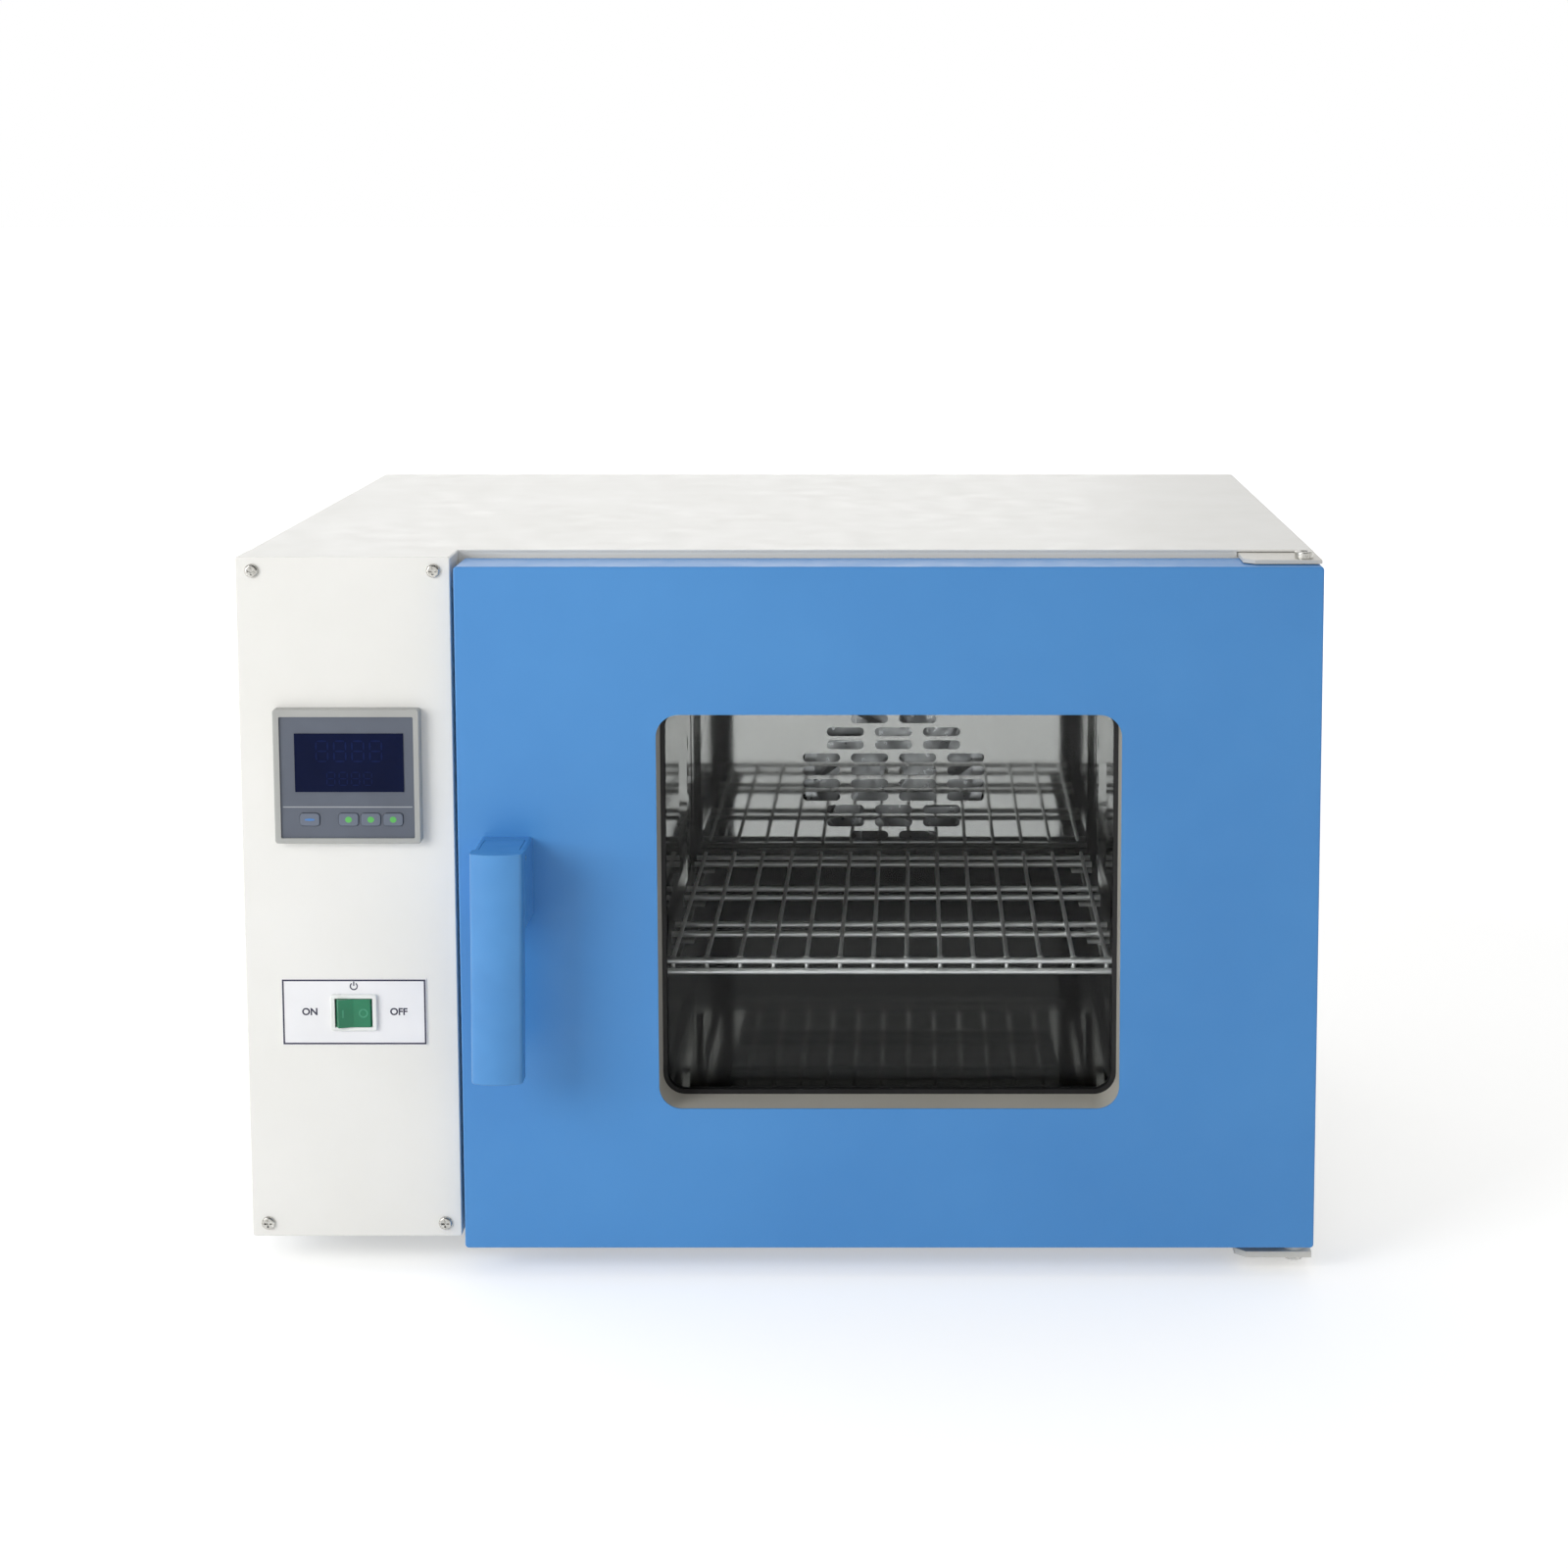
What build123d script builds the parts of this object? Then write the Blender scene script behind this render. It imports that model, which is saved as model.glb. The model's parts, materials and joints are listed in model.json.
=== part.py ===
from build123d import *
import math
import os

# Bench-top hot air sterilizer, in millimetres. X runs to the right, Y to the back and Z up. The origin is
# under the middle of the overall box, on the surface that the feet stand on.

# Cabinet
cabinet_w = 710.0
cabinet_d = 475.0
cabinet_h = 460.0
sheet = 1.2
bend_r = 2.6
seam = 0.2
flange = 14.0

# Feet
foot_h = 24.0
foot_top_r = 19.0
foot_draft = 3.0
foot_inset_x = 62.0
foot_inset_y = 70.0
foot_bolt_r = 3.0
foot_well_r = 8.0
foot_well_depth = 9.0
foot_bolt_head_r = 5.5
foot_bolt_head_h = 4.0

# Control panel
panel_w = 140.3
panel_proud = 34.0
panel_edge_r = 1.6
panel_front_r = 0.8
panel_screw_inset_x = 10.8
panel_screw_inset_z = 9.3
screw_head_r = 4.5
screw_head_h = 2.2
screw_shank_r = 2.0
screw_grip = 14.0
recess_w = 1.3
recess_l = 5.2
recess_depth = 1.3
bay_window_margin = 22.0
post_w = 18.0
post_h = 15.0

# Door
door_panel_gap = 4.0
door_top_drop = 5.0
door_overhang = 3.6
door_t = 41.0
door_gap = 5.0
door_sheet = 1.2
door_edge_r = 2.4
door_front_r = 1.1
window_w = 304.8
window_h = 265.2
window_r = 15.0
window_below_top = 102.6
reveal_wall = 1.2
pane_t = 3.0
pane_lap = 7.0
seal_t = 1.5
seal_show = 3.0
pane_gap = 2.0

# Door gasket
gasket_w = 12.0
gasket_margin = 4.0
gasket_lip_r = 1.8
run_gap = 0.3

# Hinges
hinge_inset_x = 11.0
hinge_setback = 18.0
hinge_plate_w = 51.0
top_plate_t = 2.6
top_plate_drop = 1.8
bottom_plate_t = 4.2
bottom_plate_drop = 13.7
plate_front_setback = 9.0
plate_inner_chamfer = 7.0
plate_reach_in = 40.0
joggle_setback = 2.0
notch_clear = 0.6
notch_depth = 5.0
pin_r = 4.0
pin_fit = 0.05
pin_length = 22.0
bolt_head_r = 6.1
bolt_head_h = 4.8
hex_key = 5.0
bolt_head_round = 0.8
bottom_head_h = 3.0
bush_wall = 2.5
bush_flange_r = 8.5
spacer_r = 7.0
plate_screw_pitch = 26.0
plate_screw_setback = 18.0

# Handle
handle_inset_x = 32.4
handle_below_top = 183.8
handle_w = 33.4
handle_base_h = 52.2
handle_base_out = 37.5
handle_base_r = 2.0
handle_nose_r = 3.0
cheek_bottom = 6.0
cheek_back = 8.0
grip_out = 54.0
grip_back_out = 38.5
grip_front_r = 4.0
grip_end_r = 1.5
grip_taper = 0.6
grip_w = 33.9
grip_h = 151.4
grip_crown = 4.0
grip_shift = 1.5
grip_top_rise = 0.8
pivot_out = 32.0
pivot_below = 6.0
pivot_r = 2.0
arm_w = 26.0
arm_r = 5.5
arm_clear = 0.4
arm_back = 23.0
pull_angle = 10.0
latch_bar_t = 3.0
latch_bar_h = 9.0
latch_reach = 10.0
latch_side_clear = 3.5
latch_clear = 1.5
latch_roof_clear = 0.6
keeper_sheet = 1.5
keeper_depth = 18.0

# Chamber
chamber_w = 320.0
chamber_h = 324.0
chamber_below_top = 73.0
chamber_wall = 1.0
chamber_lip = 14.0
chamber_r = 6.0
lagging_gap = 0.5
lagging_back_t = 44.0
lagging_in = chamber_wall + lagging_gap
divider_gap = 63.0

# Baffle
fan_space = 41.0
baffle_rim = 16.0
baffle_gap = 0.4
slot_l = 29.4
slot_w = 7.1
slot_pitch_x = 38.0
slot_pitch_z = 10.4
slot_rows = (2, 3, 3, 4, 4, 4, 4, 3, 3, 2)
air_below_top = 225.0

# Shelf and its runners
shelf_below_top = 282.0
shelf_front = 10.0
shelf_back_gap = 18.0
shelf_w = 309.0
wire_r = 1.5
rail_r = 2.1
wire_pitch = 22.7
wire_count = 14
rail_spacing = 7.4
wire_bend_r = 3.5
shelf_bar_places = (0.25, 0.335, 0.585, 0.67, 0.92, 0.99)
wire_sink = 0.5
runner_sheet = 1.2
runner_w = 19.0
runner_h = 15.0
upright_w = 18.0
upright_t = 3.0
upright_h = 236.0
upright_front_gap = 62.0
upright_back_gap = 69.0
runner_end_gap = 4.0
hook_pitch = 26.0
hook_w = 7.0
hook_h = 10.0
shelf_play_back = 14.0
shelf_stop_gap = 0.5

# Fan, shaft and motor
fan_r = 72.0
fan_depth = 24.0
fan_disc_t = 1.5
fan_setback = 8.0
blade_count = 12
blade_t = 1.2
blade_inner_r = 34.0
blade_turn = 32.0
blade_l = 40.0
nut_r = 7.0
nut_h = 6.0
fan_ring_w = 9.0
hub_r = 11.0
hub_h = 16.0
shaft_r = 4.0
shaft_fit = 0.05
shaft_hole_r = 8.0
shaft_in_motor = 26.0
motor_r = 44.0
motor_length = 40.0
motor_boss_r = 13.0
motor_rib_count = 18
motor_rib_w = 2.4
motor_rib_h = 2.0
motor_cap_h = 6.0
motor_rear_gap = 13.0
motor_plate_t = 2.0
motor_plate_w = 118.0
leg_r = 5.0
leg_inset = 13.0

# Heaters and temperature probe
heater_rs = (106.0, 91.0)
heater_setbacks = (9.0, 25.0)
heater_tube_r = 4.0
heater_leg_spread = 30.0
terminal_r = 6.5
terminal_t = 4.0
terminal_out = 12.0
probe_r = 2.5
probe_reach = 58.0
probe_below_top = 118.0
probe_to_baffle = 35.0
probe_nut_flats = 12.0
probe_nut_h = 6.0

# Controller
controller_w = 96.0
controller_h = 89.5
controller_below_top = 99.8
controller_inset_x = 23.6
controller_proud = 8.0
controller_r = 2.0
controller_body_w = 90.0
controller_body_h = 83.0
controller_body_d = 62.0
frame_side = 4.0
frame_top = 5.0
frame_bottom = 3.5
face_t = 3.2
face_recess = 1.2
face_r = 1.0
cutout_clear = 0.3
lens_w = 71.5
lens_h = 39.0
lens_in_x = 13.8
lens_in_z = 16.1
lens_t = 1.4
lens_proud = 0.4
key_w = 13.0
key_h = 8.5
key_r = 2.2
key_in_x = (23.0, 48.5, 63.1, 77.8)
key_names = ("key_set", "key_shift", "key_down", "key_up")
key_in_z = 73.5
key_proud = 0.9
key_depth = 1.6
key_clear = 0.25

# Power switch
power_plate_w = 96.0
power_plate_h = 45.0
power_plate_t = 0.8
power_plate_below_top = 282.7
switch_w = 30.9
switch_h = 24.4
switch_rim = 2.5
switch_r = 1.5
switch_edge_r = 0.8
switch_body_w = 27.4
switch_body_h = 21.8
switch_body_d = 24.0
rocker_r = 12.2
rocker_h = 19.0
rocker_tilt = 16.0
rocker_face = 5.0
rocker_back = 4.5
rocker_sit = 4.6
rocker_clear = 0.3
trunnion_r = 1.6
trunnion_l = 0.9
well_back = 10.5

# Rear cover, vent and cord gland
rear_reach = 14.0
louvre_l = 52.0
louvre_out = 5.5
louvre_pitch = 14.0
louvre_columns = 2
louvre_column_pitch = 62.0
bay_louvre_rows = 8
motor_louvre_rows = 6
louvre_in_x = 104.0
louvre_below_top = 240.0
rear_screw_inset = 7.0
rear_screw_r = 3.8
rear_screw_h = 2.0
vent_in_x = 46.0
vent_below_top = 112.0
vent_duct_r = 21.0
vent_duct_wall = 1.2
vent_plate_r = 34.0
vent_plate_t = 2.0
vent_hole_r = 4.6
vent_hole_ring_r = 15.0
vent_hole_count = 4
vent_shutter_r = 24.0
vent_shutter_t = 2.0
vent_knob_r = 7.0
vent_knob_out = 7.0
vent_knob_w = 7.0
vent_spindle_r = 2.5
gland_in_x = 44.0
gland_up = 58.0
gland_hex = 24.0
gland_bore_r = 4.5
gland_thread_r = 9.5
gland_in = 12.0
gland_nut_t = 5.0
gland_flange_t = 6.0
gland_taper = 8.0

# Electrics in the control bay
relay_w = 44.0
relay_h = 58.0
relay_d = 28.0
relay_fin_count = 6
relay_fin_base = 4.0
relay_fin_h = 10.0
relay_up = 150.0
relay_setback = 160.0
terminal_block_w = 20.0
terminal_block_l = 92.0
terminal_block_h = 17.0
terminal_ways = 8
terminal_slot_w = 7.0
terminal_slot_h = 7.0
terminal_block_setback = 300.0

# Planes of the cabinet, worked out from the sizes above
overall_d = grip_out + door_t + door_gap + cabinet_d + rear_reach
fascia_y = -overall_d / 2 + grip_out + door_t + door_gap
rear_y = fascia_y + cabinet_d
door_back_y = fascia_y - door_gap
door_front_y = door_back_y - door_t
panel_y = fascia_y - panel_proud
left_x = -cabinet_w / 2
right_x = cabinet_w / 2
base_z = foot_h
top_z = base_z + cabinet_h
inside_w = cabinet_w - 2 * sheet - 2 * seam
inside_y = fascia_y + sheet
cover_y = rear_y - sheet


on_base = (Align.CENTER, Align.CENTER, Align.MIN)


def upright(y):
    """A plane facing the front at depth y: local x is X and local y is Z."""
    return Plane.XZ.offset(-y)


def save(piece, name):
    """Labels a finished piece and writes its file."""
    piece.part.label = name
    export_step(piece.part, "parts/" + name + ".step")


os.makedirs("parts", exist_ok=True)

# Door, window and chamber places
door_left = left_x + panel_w + door_panel_gap
door_w = right_x - door_left
door_x = door_left + door_w / 2
door_top = top_z - door_top_drop
door_bottom = base_z - door_overhang
door_h = door_top - door_bottom
door_z = door_bottom + door_h / 2
window_x = door_x
window_z = top_z - window_below_top - window_h / 2
chamber_x = door_x
chamber_top = top_z - chamber_below_top
chamber_z = chamber_top - chamber_h / 2
chamber_left = chamber_x - chamber_w / 2
chamber_right = chamber_x + chamber_w / 2
motor_stack = lagging_back_t + 2 * lagging_gap + motor_plate_t + motor_length + motor_cap_h
chamber_back_y = rear_y - motor_rear_gap - motor_stack - chamber_wall
chamber_depth = chamber_back_y - fascia_y
baffle_y = chamber_back_y - fan_space
divider_x = chamber_left - divider_gap
hinge_x = right_x - hinge_inset_x
hinge_y = door_front_y + hinge_setback
hinge_plate_x = right_x - hinge_plate_w / 2
hinge_plate_y = door_front_y + plate_front_setback
handle_x = door_left + handle_inset_x
handle_top = top_z - handle_below_top
pivot_y = door_front_y - pivot_out
pivot_z = handle_top - pivot_below


def latch_drop(y):
    """How far the latch bar comes down at depth y as the handle is pulled."""
    return (y - pivot_y) * math.sin(math.radians(pull_angle))


def latch_slot(y, side, above, mode):
    """A slot for the latch bar at depth y, on the current sketch, tall enough for its travel."""
    height = latch_bar_h + latch_drop(y) + above + latch_clear
    with Locations((handle_x, pivot_z + latch_bar_h / 2 + above - height / 2)):
        Rectangle(latch_bar_t + 2 * side, height, mode=mode)


# Outer cover: one folded sheet over the top and both sides
with BuildPart() as outer_shell:
    with BuildSketch(upright(rear_y)) as wrap:
        with Locations((0, base_z + cabinet_h / 2)):
            Rectangle(cabinet_w, cabinet_h)
        fillet(wrap.vertices().group_by(Axis.Y)[-1], bend_r)
        with Locations((0, base_z + (cabinet_h - sheet) / 2)):
            Rectangle(cabinet_w - 2 * sheet, cabinet_h - sheet, mode=Mode.SUBTRACT)
    extrude(amount=cabinet_d)
save(outer_shell, "outer_shell")

# Base pan: a shallow tray that the feet bolt to
base_d = cover_y - seam - inside_y - seam
base_y = (cover_y + inside_y) / 2
foot_x = cabinet_w / 2 - foot_inset_x
foot_y_span = cabinet_d - 2 * foot_inset_y
foot_y = (fascia_y + rear_y) / 2
with BuildPart() as base_pan:
    with BuildSketch(Plane.XY.offset(base_z)):
        with Locations((0, base_y)):
            Rectangle(inside_w, base_d)
    extrude(amount=flange)
    with BuildSketch(Plane.XY.offset(base_z + sheet)):
        with Locations((0, base_y)):
            Rectangle(inside_w - 2 * sheet, base_d - 2 * sheet)
    extrude(amount=flange, mode=Mode.SUBTRACT)
    with Locations((0, foot_y, base_z)):
        with GridLocations(2 * foot_x, foot_y_span, 2, 2):
            Hole(foot_bolt_r + seam, depth=sheet * 4)
save(base_pan, "base_pan")

# Feet: tapered rubber, each with a well for its bolt
with BuildPart() as feet:
    with Locations((0, foot_y, 0)):
        with GridLocations(2 * foot_x, foot_y_span, 2, 2):
            Cone(foot_top_r - foot_draft, foot_top_r, foot_h, align=on_base)
            Cylinder(foot_well_r, foot_well_depth, align=on_base, mode=Mode.SUBTRACT)
            Cylinder(foot_bolt_r + seam, foot_h, align=on_base, mode=Mode.SUBTRACT)
save(feet, "feet")

# Foot bolts: a head in each well and a shank up through the base pan
foot_bolt_z = foot_well_depth - foot_bolt_head_h
with BuildPart() as foot_bolts:
    with Locations((0, foot_y, foot_bolt_z)):
        with GridLocations(2 * foot_x, foot_y_span, 2, 2):
            Cylinder(foot_bolt_head_r, foot_bolt_head_h, align=on_base)
            Cylinder(foot_bolt_r, base_z + sheet - foot_bolt_z, align=on_base)
save(foot_bolts, "foot_bolts")

# Front fascia: the sheet behind the door, cut out for the chamber, the bay, the latch
# and the top hinge plate
panel_x = left_x + panel_w / 2
bay_window_w = panel_w - 2 * bay_window_margin
bay_window_h = cabinet_h - 2 * bay_window_margin
fascia_h = cabinet_h - sheet - seam
with BuildPart() as front_fascia:
    with BuildSketch(upright(inside_y)):
        with Locations((0, base_z + fascia_h / 2)):
            Rectangle(inside_w, fascia_h)
        with Locations((chamber_x, chamber_z)):
            RectangleRounded(chamber_w, chamber_h, chamber_r, mode=Mode.SUBTRACT)
        with Locations((panel_x, base_z + cabinet_h / 2)):
            Rectangle(bay_window_w, bay_window_h, mode=Mode.SUBTRACT)
        with Locations((hinge_plate_x, top_z)):
            Rectangle(hinge_plate_w + 2 * notch_clear, 2 * notch_depth, mode=Mode.SUBTRACT)
        latch_slot(inside_y, latch_side_clear, latch_clear, Mode.SUBTRACT)
    extrude(amount=sheet)
save(front_fascia, "front_fascia")

# Divider between the control bay and the heated part, with a foot on the base pan
divider_y = inside_y + 2 * seam + sheet
divider_d = cover_y - 2 * seam - sheet - divider_y
divider_h = cabinet_h - 3 * sheet - 2 * seam
with BuildPart() as bay_divider:
    with BuildSketch(upright(divider_y)):
        with Locations((divider_x, base_z + sheet)):
            Rectangle(sheet, divider_h, align=(Align.MAX, Align.MIN))
            Rectangle(flange, sheet, align=(Align.MAX, Align.MIN))
    extrude(amount=-divider_d)
save(bay_divider, "bay_divider")

# Chamber liner: a stainless box with a lip behind the fascia and holes for what passes through its back
air_z = top_z - air_below_top
vent_x = chamber_right - vent_in_x
vent_z = top_z - vent_below_top
liner_back_y = chamber_back_y + chamber_wall
liner_d = liner_back_y - inside_y
heater_legs = [(chamber_x + side * heater_leg_spread / 2, air_z - r) for r in heater_rs for side in (-1, 1)]
probe_z = top_z - probe_below_top
probe_y = baffle_y - probe_to_baffle
with BuildPart() as chamber_liner:
    with BuildSketch(upright(liner_back_y)):
        with Locations((chamber_x, chamber_z)):
            RectangleRounded(
                chamber_w + 2 * chamber_wall, chamber_h + 2 * chamber_wall, chamber_r + chamber_wall
            )
    extrude(amount=liner_d)
    with BuildSketch(upright(inside_y + chamber_wall)):
        with Locations((chamber_x, chamber_z)):
            Rectangle(chamber_w + 2 * chamber_lip, chamber_h + 2 * chamber_lip)
    extrude(amount=chamber_wall)
    with BuildSketch(upright(chamber_back_y)):
        with Locations((chamber_x, chamber_z)):
            RectangleRounded(chamber_w, chamber_h, chamber_r)
    extrude(amount=chamber_depth, mode=Mode.SUBTRACT)
    with BuildSketch(upright(liner_back_y)):
        with Locations((chamber_x, air_z)):
            Circle(shaft_hole_r)
        with Locations((vent_x, vent_z)):
            Circle(vent_duct_r - vent_duct_wall)
        with Locations(*heater_legs):
            Circle(heater_tube_r + seam)
    extrude(amount=chamber_wall, mode=Mode.SUBTRACT)
    with BuildSketch(Plane.YZ.offset(chamber_right)):
        with Locations((probe_y, probe_z)):
            Circle(probe_r + seam)
    extrude(amount=chamber_wall, mode=Mode.SUBTRACT)
save(chamber_liner, "chamber_liner")

# Lagging: mineral wool packed round the liner
lagging_left = divider_x + lagging_gap
lagging_right = inside_w / 2 - sheet - lagging_gap
lagging_bottom = base_z + sheet + lagging_gap
lagging_top = top_z - top_plate_drop - top_plate_t - lagging_gap
lagging_front = inside_y + seam + sheet + lagging_gap
lagging_back = liner_back_y + lagging_gap + lagging_back_t
motor_plate_y = lagging_back + lagging_gap
leg_pitch = motor_plate_w - 2 * leg_inset
with BuildPart() as lagging:
    with BuildSketch(upright(lagging_back)):
        with Locations((lagging_left, lagging_bottom)):
            Rectangle(
                lagging_right - lagging_left, lagging_top - lagging_bottom, align=(Align.MIN, Align.MIN)
            )
    extrude(amount=lagging_back - lagging_front)
    with BuildSketch(upright(liner_back_y + lagging_gap)):
        with Locations((chamber_x, chamber_z)):
            RectangleRounded(chamber_w + 2 * lagging_in, chamber_h + 2 * lagging_in, chamber_r + lagging_in)
    extrude(amount=liner_back_y - lagging_front + lagging_gap, mode=Mode.SUBTRACT)
    with BuildSketch(upright(lagging_back)):
        with Locations((chamber_x, air_z)):
            Circle(shaft_hole_r)
        with Locations((vent_x, vent_z)):
            Circle(vent_duct_r + lagging_gap)
        with Locations(*heater_legs):
            Circle(terminal_r + lagging_gap)
        with Locations((chamber_x, air_z)):
            with GridLocations(leg_pitch, leg_pitch, 2, 2):
                Circle(leg_r + lagging_gap)
    extrude(amount=lagging_back_t, mode=Mode.SUBTRACT)
    with BuildSketch(Plane.YZ.offset(chamber_right)):
        with Locations((probe_y, probe_z)):
            Circle(probe_nut_flats)
    extrude(amount=lagging_in + probe_nut_h + lagging_gap, mode=Mode.SUBTRACT)
save(lagging, "lagging")

# Baffle: the slotted stainless plate that the fan blows through, with a rim folded back all round
baffle_w = chamber_w - 2 * baffle_gap
baffle_h = chamber_h - 2 * baffle_gap
with BuildPart() as baffle:
    with BuildSketch(upright(baffle_y)):
        with Locations((chamber_x, chamber_z)):
            RectangleRounded(baffle_w, baffle_h, chamber_r - baffle_gap)
    extrude(amount=-baffle_rim)
    with BuildSketch(upright(baffle_y + chamber_wall)):
        with Locations((chamber_x, chamber_z)):
            RectangleRounded(
                baffle_w - 2 * chamber_wall,
                baffle_h - 2 * chamber_wall,
                chamber_r - baffle_gap - chamber_wall,
            )
    extrude(amount=-baffle_rim, mode=Mode.SUBTRACT)
    with BuildSketch(upright(baffle_y)):
        for row, count in enumerate(slot_rows):
            row_z = air_z + ((len(slot_rows) - 1) / 2 - row) * slot_pitch_z
            with Locations((chamber_x, row_z)):
                with GridLocations(slot_pitch_x, slot_pitch_z, count, 1):
                    SlotOverall(slot_l, slot_w)
    extrude(amount=-chamber_wall, mode=Mode.SUBTRACT)
save(baffle, "baffle")

# Uprights and runners on both side walls of the chamber
hook_count = int((upright_h - 2 * hook_pitch / 2) // hook_pitch) + 1
shelf_z = top_z - shelf_below_top
shelf_front_y = fascia_y + shelf_front
shelf_depth = baffle_y - shelf_back_gap - shelf_front_y
runner_z = shelf_z - wire_r - rail_r * 2 + wire_sink - run_gap
runner_y = shelf_front_y + 2 * rail_r + wire_r + shelf_play_back + shelf_stop_gap
runner_d = baffle_y - runner_end_gap - runner_y
upright_places = [(fascia_y + upright_front_gap, chamber_z), (baffle_y - upright_back_gap, chamber_z)]
with BuildPart() as shelf_uprights:
    for side in (-1, 1):
        with BuildSketch(Plane.YZ.offset(chamber_x + side * chamber_w / 2)):
            with Locations(*upright_places):
                Rectangle(upright_w, upright_h)
            with Locations(*upright_places):
                with GridLocations(hook_w, hook_pitch, 1, hook_count):
                    Rectangle(hook_w, hook_h, mode=Mode.SUBTRACT)
        extrude(amount=-side * upright_t)
save(shelf_uprights, "shelf_uprights")

runner_span = chamber_w - 2 * upright_t
with BuildPart() as shelf_runners:
    with BuildSketch(upright(runner_y)):
        with Locations((chamber_x, runner_z)):
            Rectangle(runner_span, runner_h, align=(Align.CENTER, Align.MAX))
            Rectangle(
                runner_span - 2 * runner_w, runner_h, align=(Align.CENTER, Align.MAX), mode=Mode.SUBTRACT
            )
        with Locations((chamber_x, runner_z - runner_sheet)):
            Rectangle(
                runner_span - 2 * runner_sheet,
                runner_h,
                align=(Align.CENTER, Align.MAX),
                mode=Mode.SUBTRACT,
            )
    extrude(amount=-runner_d)
save(shelf_runners, "shelf_runners")

# Shelf: front-to-back wires bent down behind a double front rail, on cross bars, welded into one piece
wire_drop = rail_spacing + rail_r
with BuildPart() as wire_shelf:
    for index in range(wire_count):
        wire_x = chamber_x + (index - (wire_count - 1) / 2) * wire_pitch
        with BuildLine(Plane.YZ.offset(wire_x)) as wire_path:
            FilletPolyline(
                (shelf_front_y + 2 * rail_r, shelf_z - wire_drop),
                (shelf_front_y + 2 * rail_r, shelf_z),
                (shelf_front_y + shelf_depth, shelf_z),
                radius=wire_bend_r,
            )
        with BuildSketch(Plane(origin=wire_path.line @ 0, z_dir=wire_path.line % 0)):
            Circle(wire_r)
        sweep()
    rail_y = shelf_front_y + 2 * rail_r - wire_r - rail_r + wire_sink
    bar_z = shelf_z - wire_r - rail_r + wire_sink
    bar_places = [(rail_y, shelf_z - rail_r / 2), (rail_y, shelf_z - rail_r / 2 - rail_spacing)]
    bar_places += [(shelf_front_y + place * shelf_depth, bar_z) for place in shelf_bar_places]
    with BuildSketch(Plane.YZ.offset(chamber_x - shelf_w / 2)):
        with Locations(*bar_places):
            Circle(rail_r)
    extrude(amount=shelf_w)
save(wire_shelf, "wire_shelf")

# Fan wheel: hub, back disc, curved blades and a front ring
fan_y = baffle_y + chamber_wall + fan_setback
fan_back_y = fan_y + fan_depth
blade_mid_r = (blade_inner_r + fan_r) / 2
with BuildPart() as fan_wheel:
    with BuildSketch(upright(fan_back_y)):
        with Locations((chamber_x, air_z)):
            Circle(fan_r)
    extrude(amount=fan_disc_t)
    with BuildSketch(upright(fan_back_y)):
        with Locations((chamber_x, air_z)):
            Circle(hub_r)
    extrude(amount=hub_h)
    with BuildSketch(upright(fan_y + fan_disc_t)):
        with Locations((chamber_x, air_z)):
            Circle(fan_r)
            Circle(fan_r - fan_ring_w, mode=Mode.SUBTRACT)
    extrude(amount=fan_disc_t)
    with BuildSketch(upright(fan_back_y)) as blades:
        with Locations((chamber_x, air_z)):
            with PolarLocations(blade_mid_r, blade_count):
                with Locations(Rotation(0, 0, blade_turn)):
                    Rectangle(blade_l, blade_t)
    extrude(amount=fan_depth)
    with BuildSketch(upright(fan_back_y)):
        with Locations((chamber_x, air_z)):
            Circle(shaft_r)
    extrude(amount=hub_h, mode=Mode.SUBTRACT)
save(fan_wheel, "fan_wheel")

# Fan shaft: from the hub through the chamber's back into the motor
motor_y = motor_plate_y + motor_plate_t
shaft_front_y = fan_back_y - hub_h
with BuildPart() as fan_shaft:
    with BuildSketch(upright(shaft_front_y)):
        with Locations((chamber_x, air_z)):
            Circle(shaft_r)
    extrude(amount=-(motor_y + shaft_in_motor - shaft_front_y))
    with BuildSketch(upright(shaft_front_y)):
        with Locations((chamber_x, air_z)):
            RegularPolygon(nut_r, 6, major_radius=False)
    extrude(amount=nut_h)
save(fan_shaft, "fan_shaft")

# Fan motor: ribbed casing with a bearing boss
with BuildPart() as fan_motor:
    with BuildSketch(upright(motor_y)):
        with Locations((chamber_x, air_z)):
            Circle(motor_r)
            with PolarLocations(motor_r, motor_rib_count):
                Rectangle(2 * motor_rib_h, motor_rib_w)
    extrude(amount=-motor_length)
    with BuildSketch(upright(motor_y)):
        with Locations((chamber_x, air_z)):
            Circle(motor_boss_r)
    extrude(amount=motor_plate_t)
    with BuildSketch(upright(motor_y - motor_plate_t)):
        with Locations((chamber_x, air_z)):
            Circle(shaft_r + shaft_fit)
    extrude(amount=-(motor_plate_t + shaft_in_motor + run_gap), mode=Mode.SUBTRACT)
    with BuildSketch(upright(motor_y + motor_length)):
        with Locations((chamber_x, air_z)):
            Circle(motor_boss_r)
    extrude(amount=-motor_cap_h)
save(fan_motor, "fan_motor")

# Motor bracket: a plate on four legs that reach through the lagging to the liner
with BuildPart() as motor_bracket:
    with BuildSketch(upright(motor_y)):
        with Locations((chamber_x, air_z)):
            RectangleRounded(motor_plate_w, motor_plate_w, leg_inset)
            Circle(motor_boss_r + seam, mode=Mode.SUBTRACT)
    extrude(amount=motor_plate_t)
    with BuildSketch(upright(motor_plate_y)):
        with Locations((chamber_x, air_z)):
            with GridLocations(leg_pitch, leg_pitch, 2, 2):
                Circle(leg_r)
    extrude(amount=motor_plate_y - liner_back_y)
save(motor_bracket, "motor_bracket")

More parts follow.
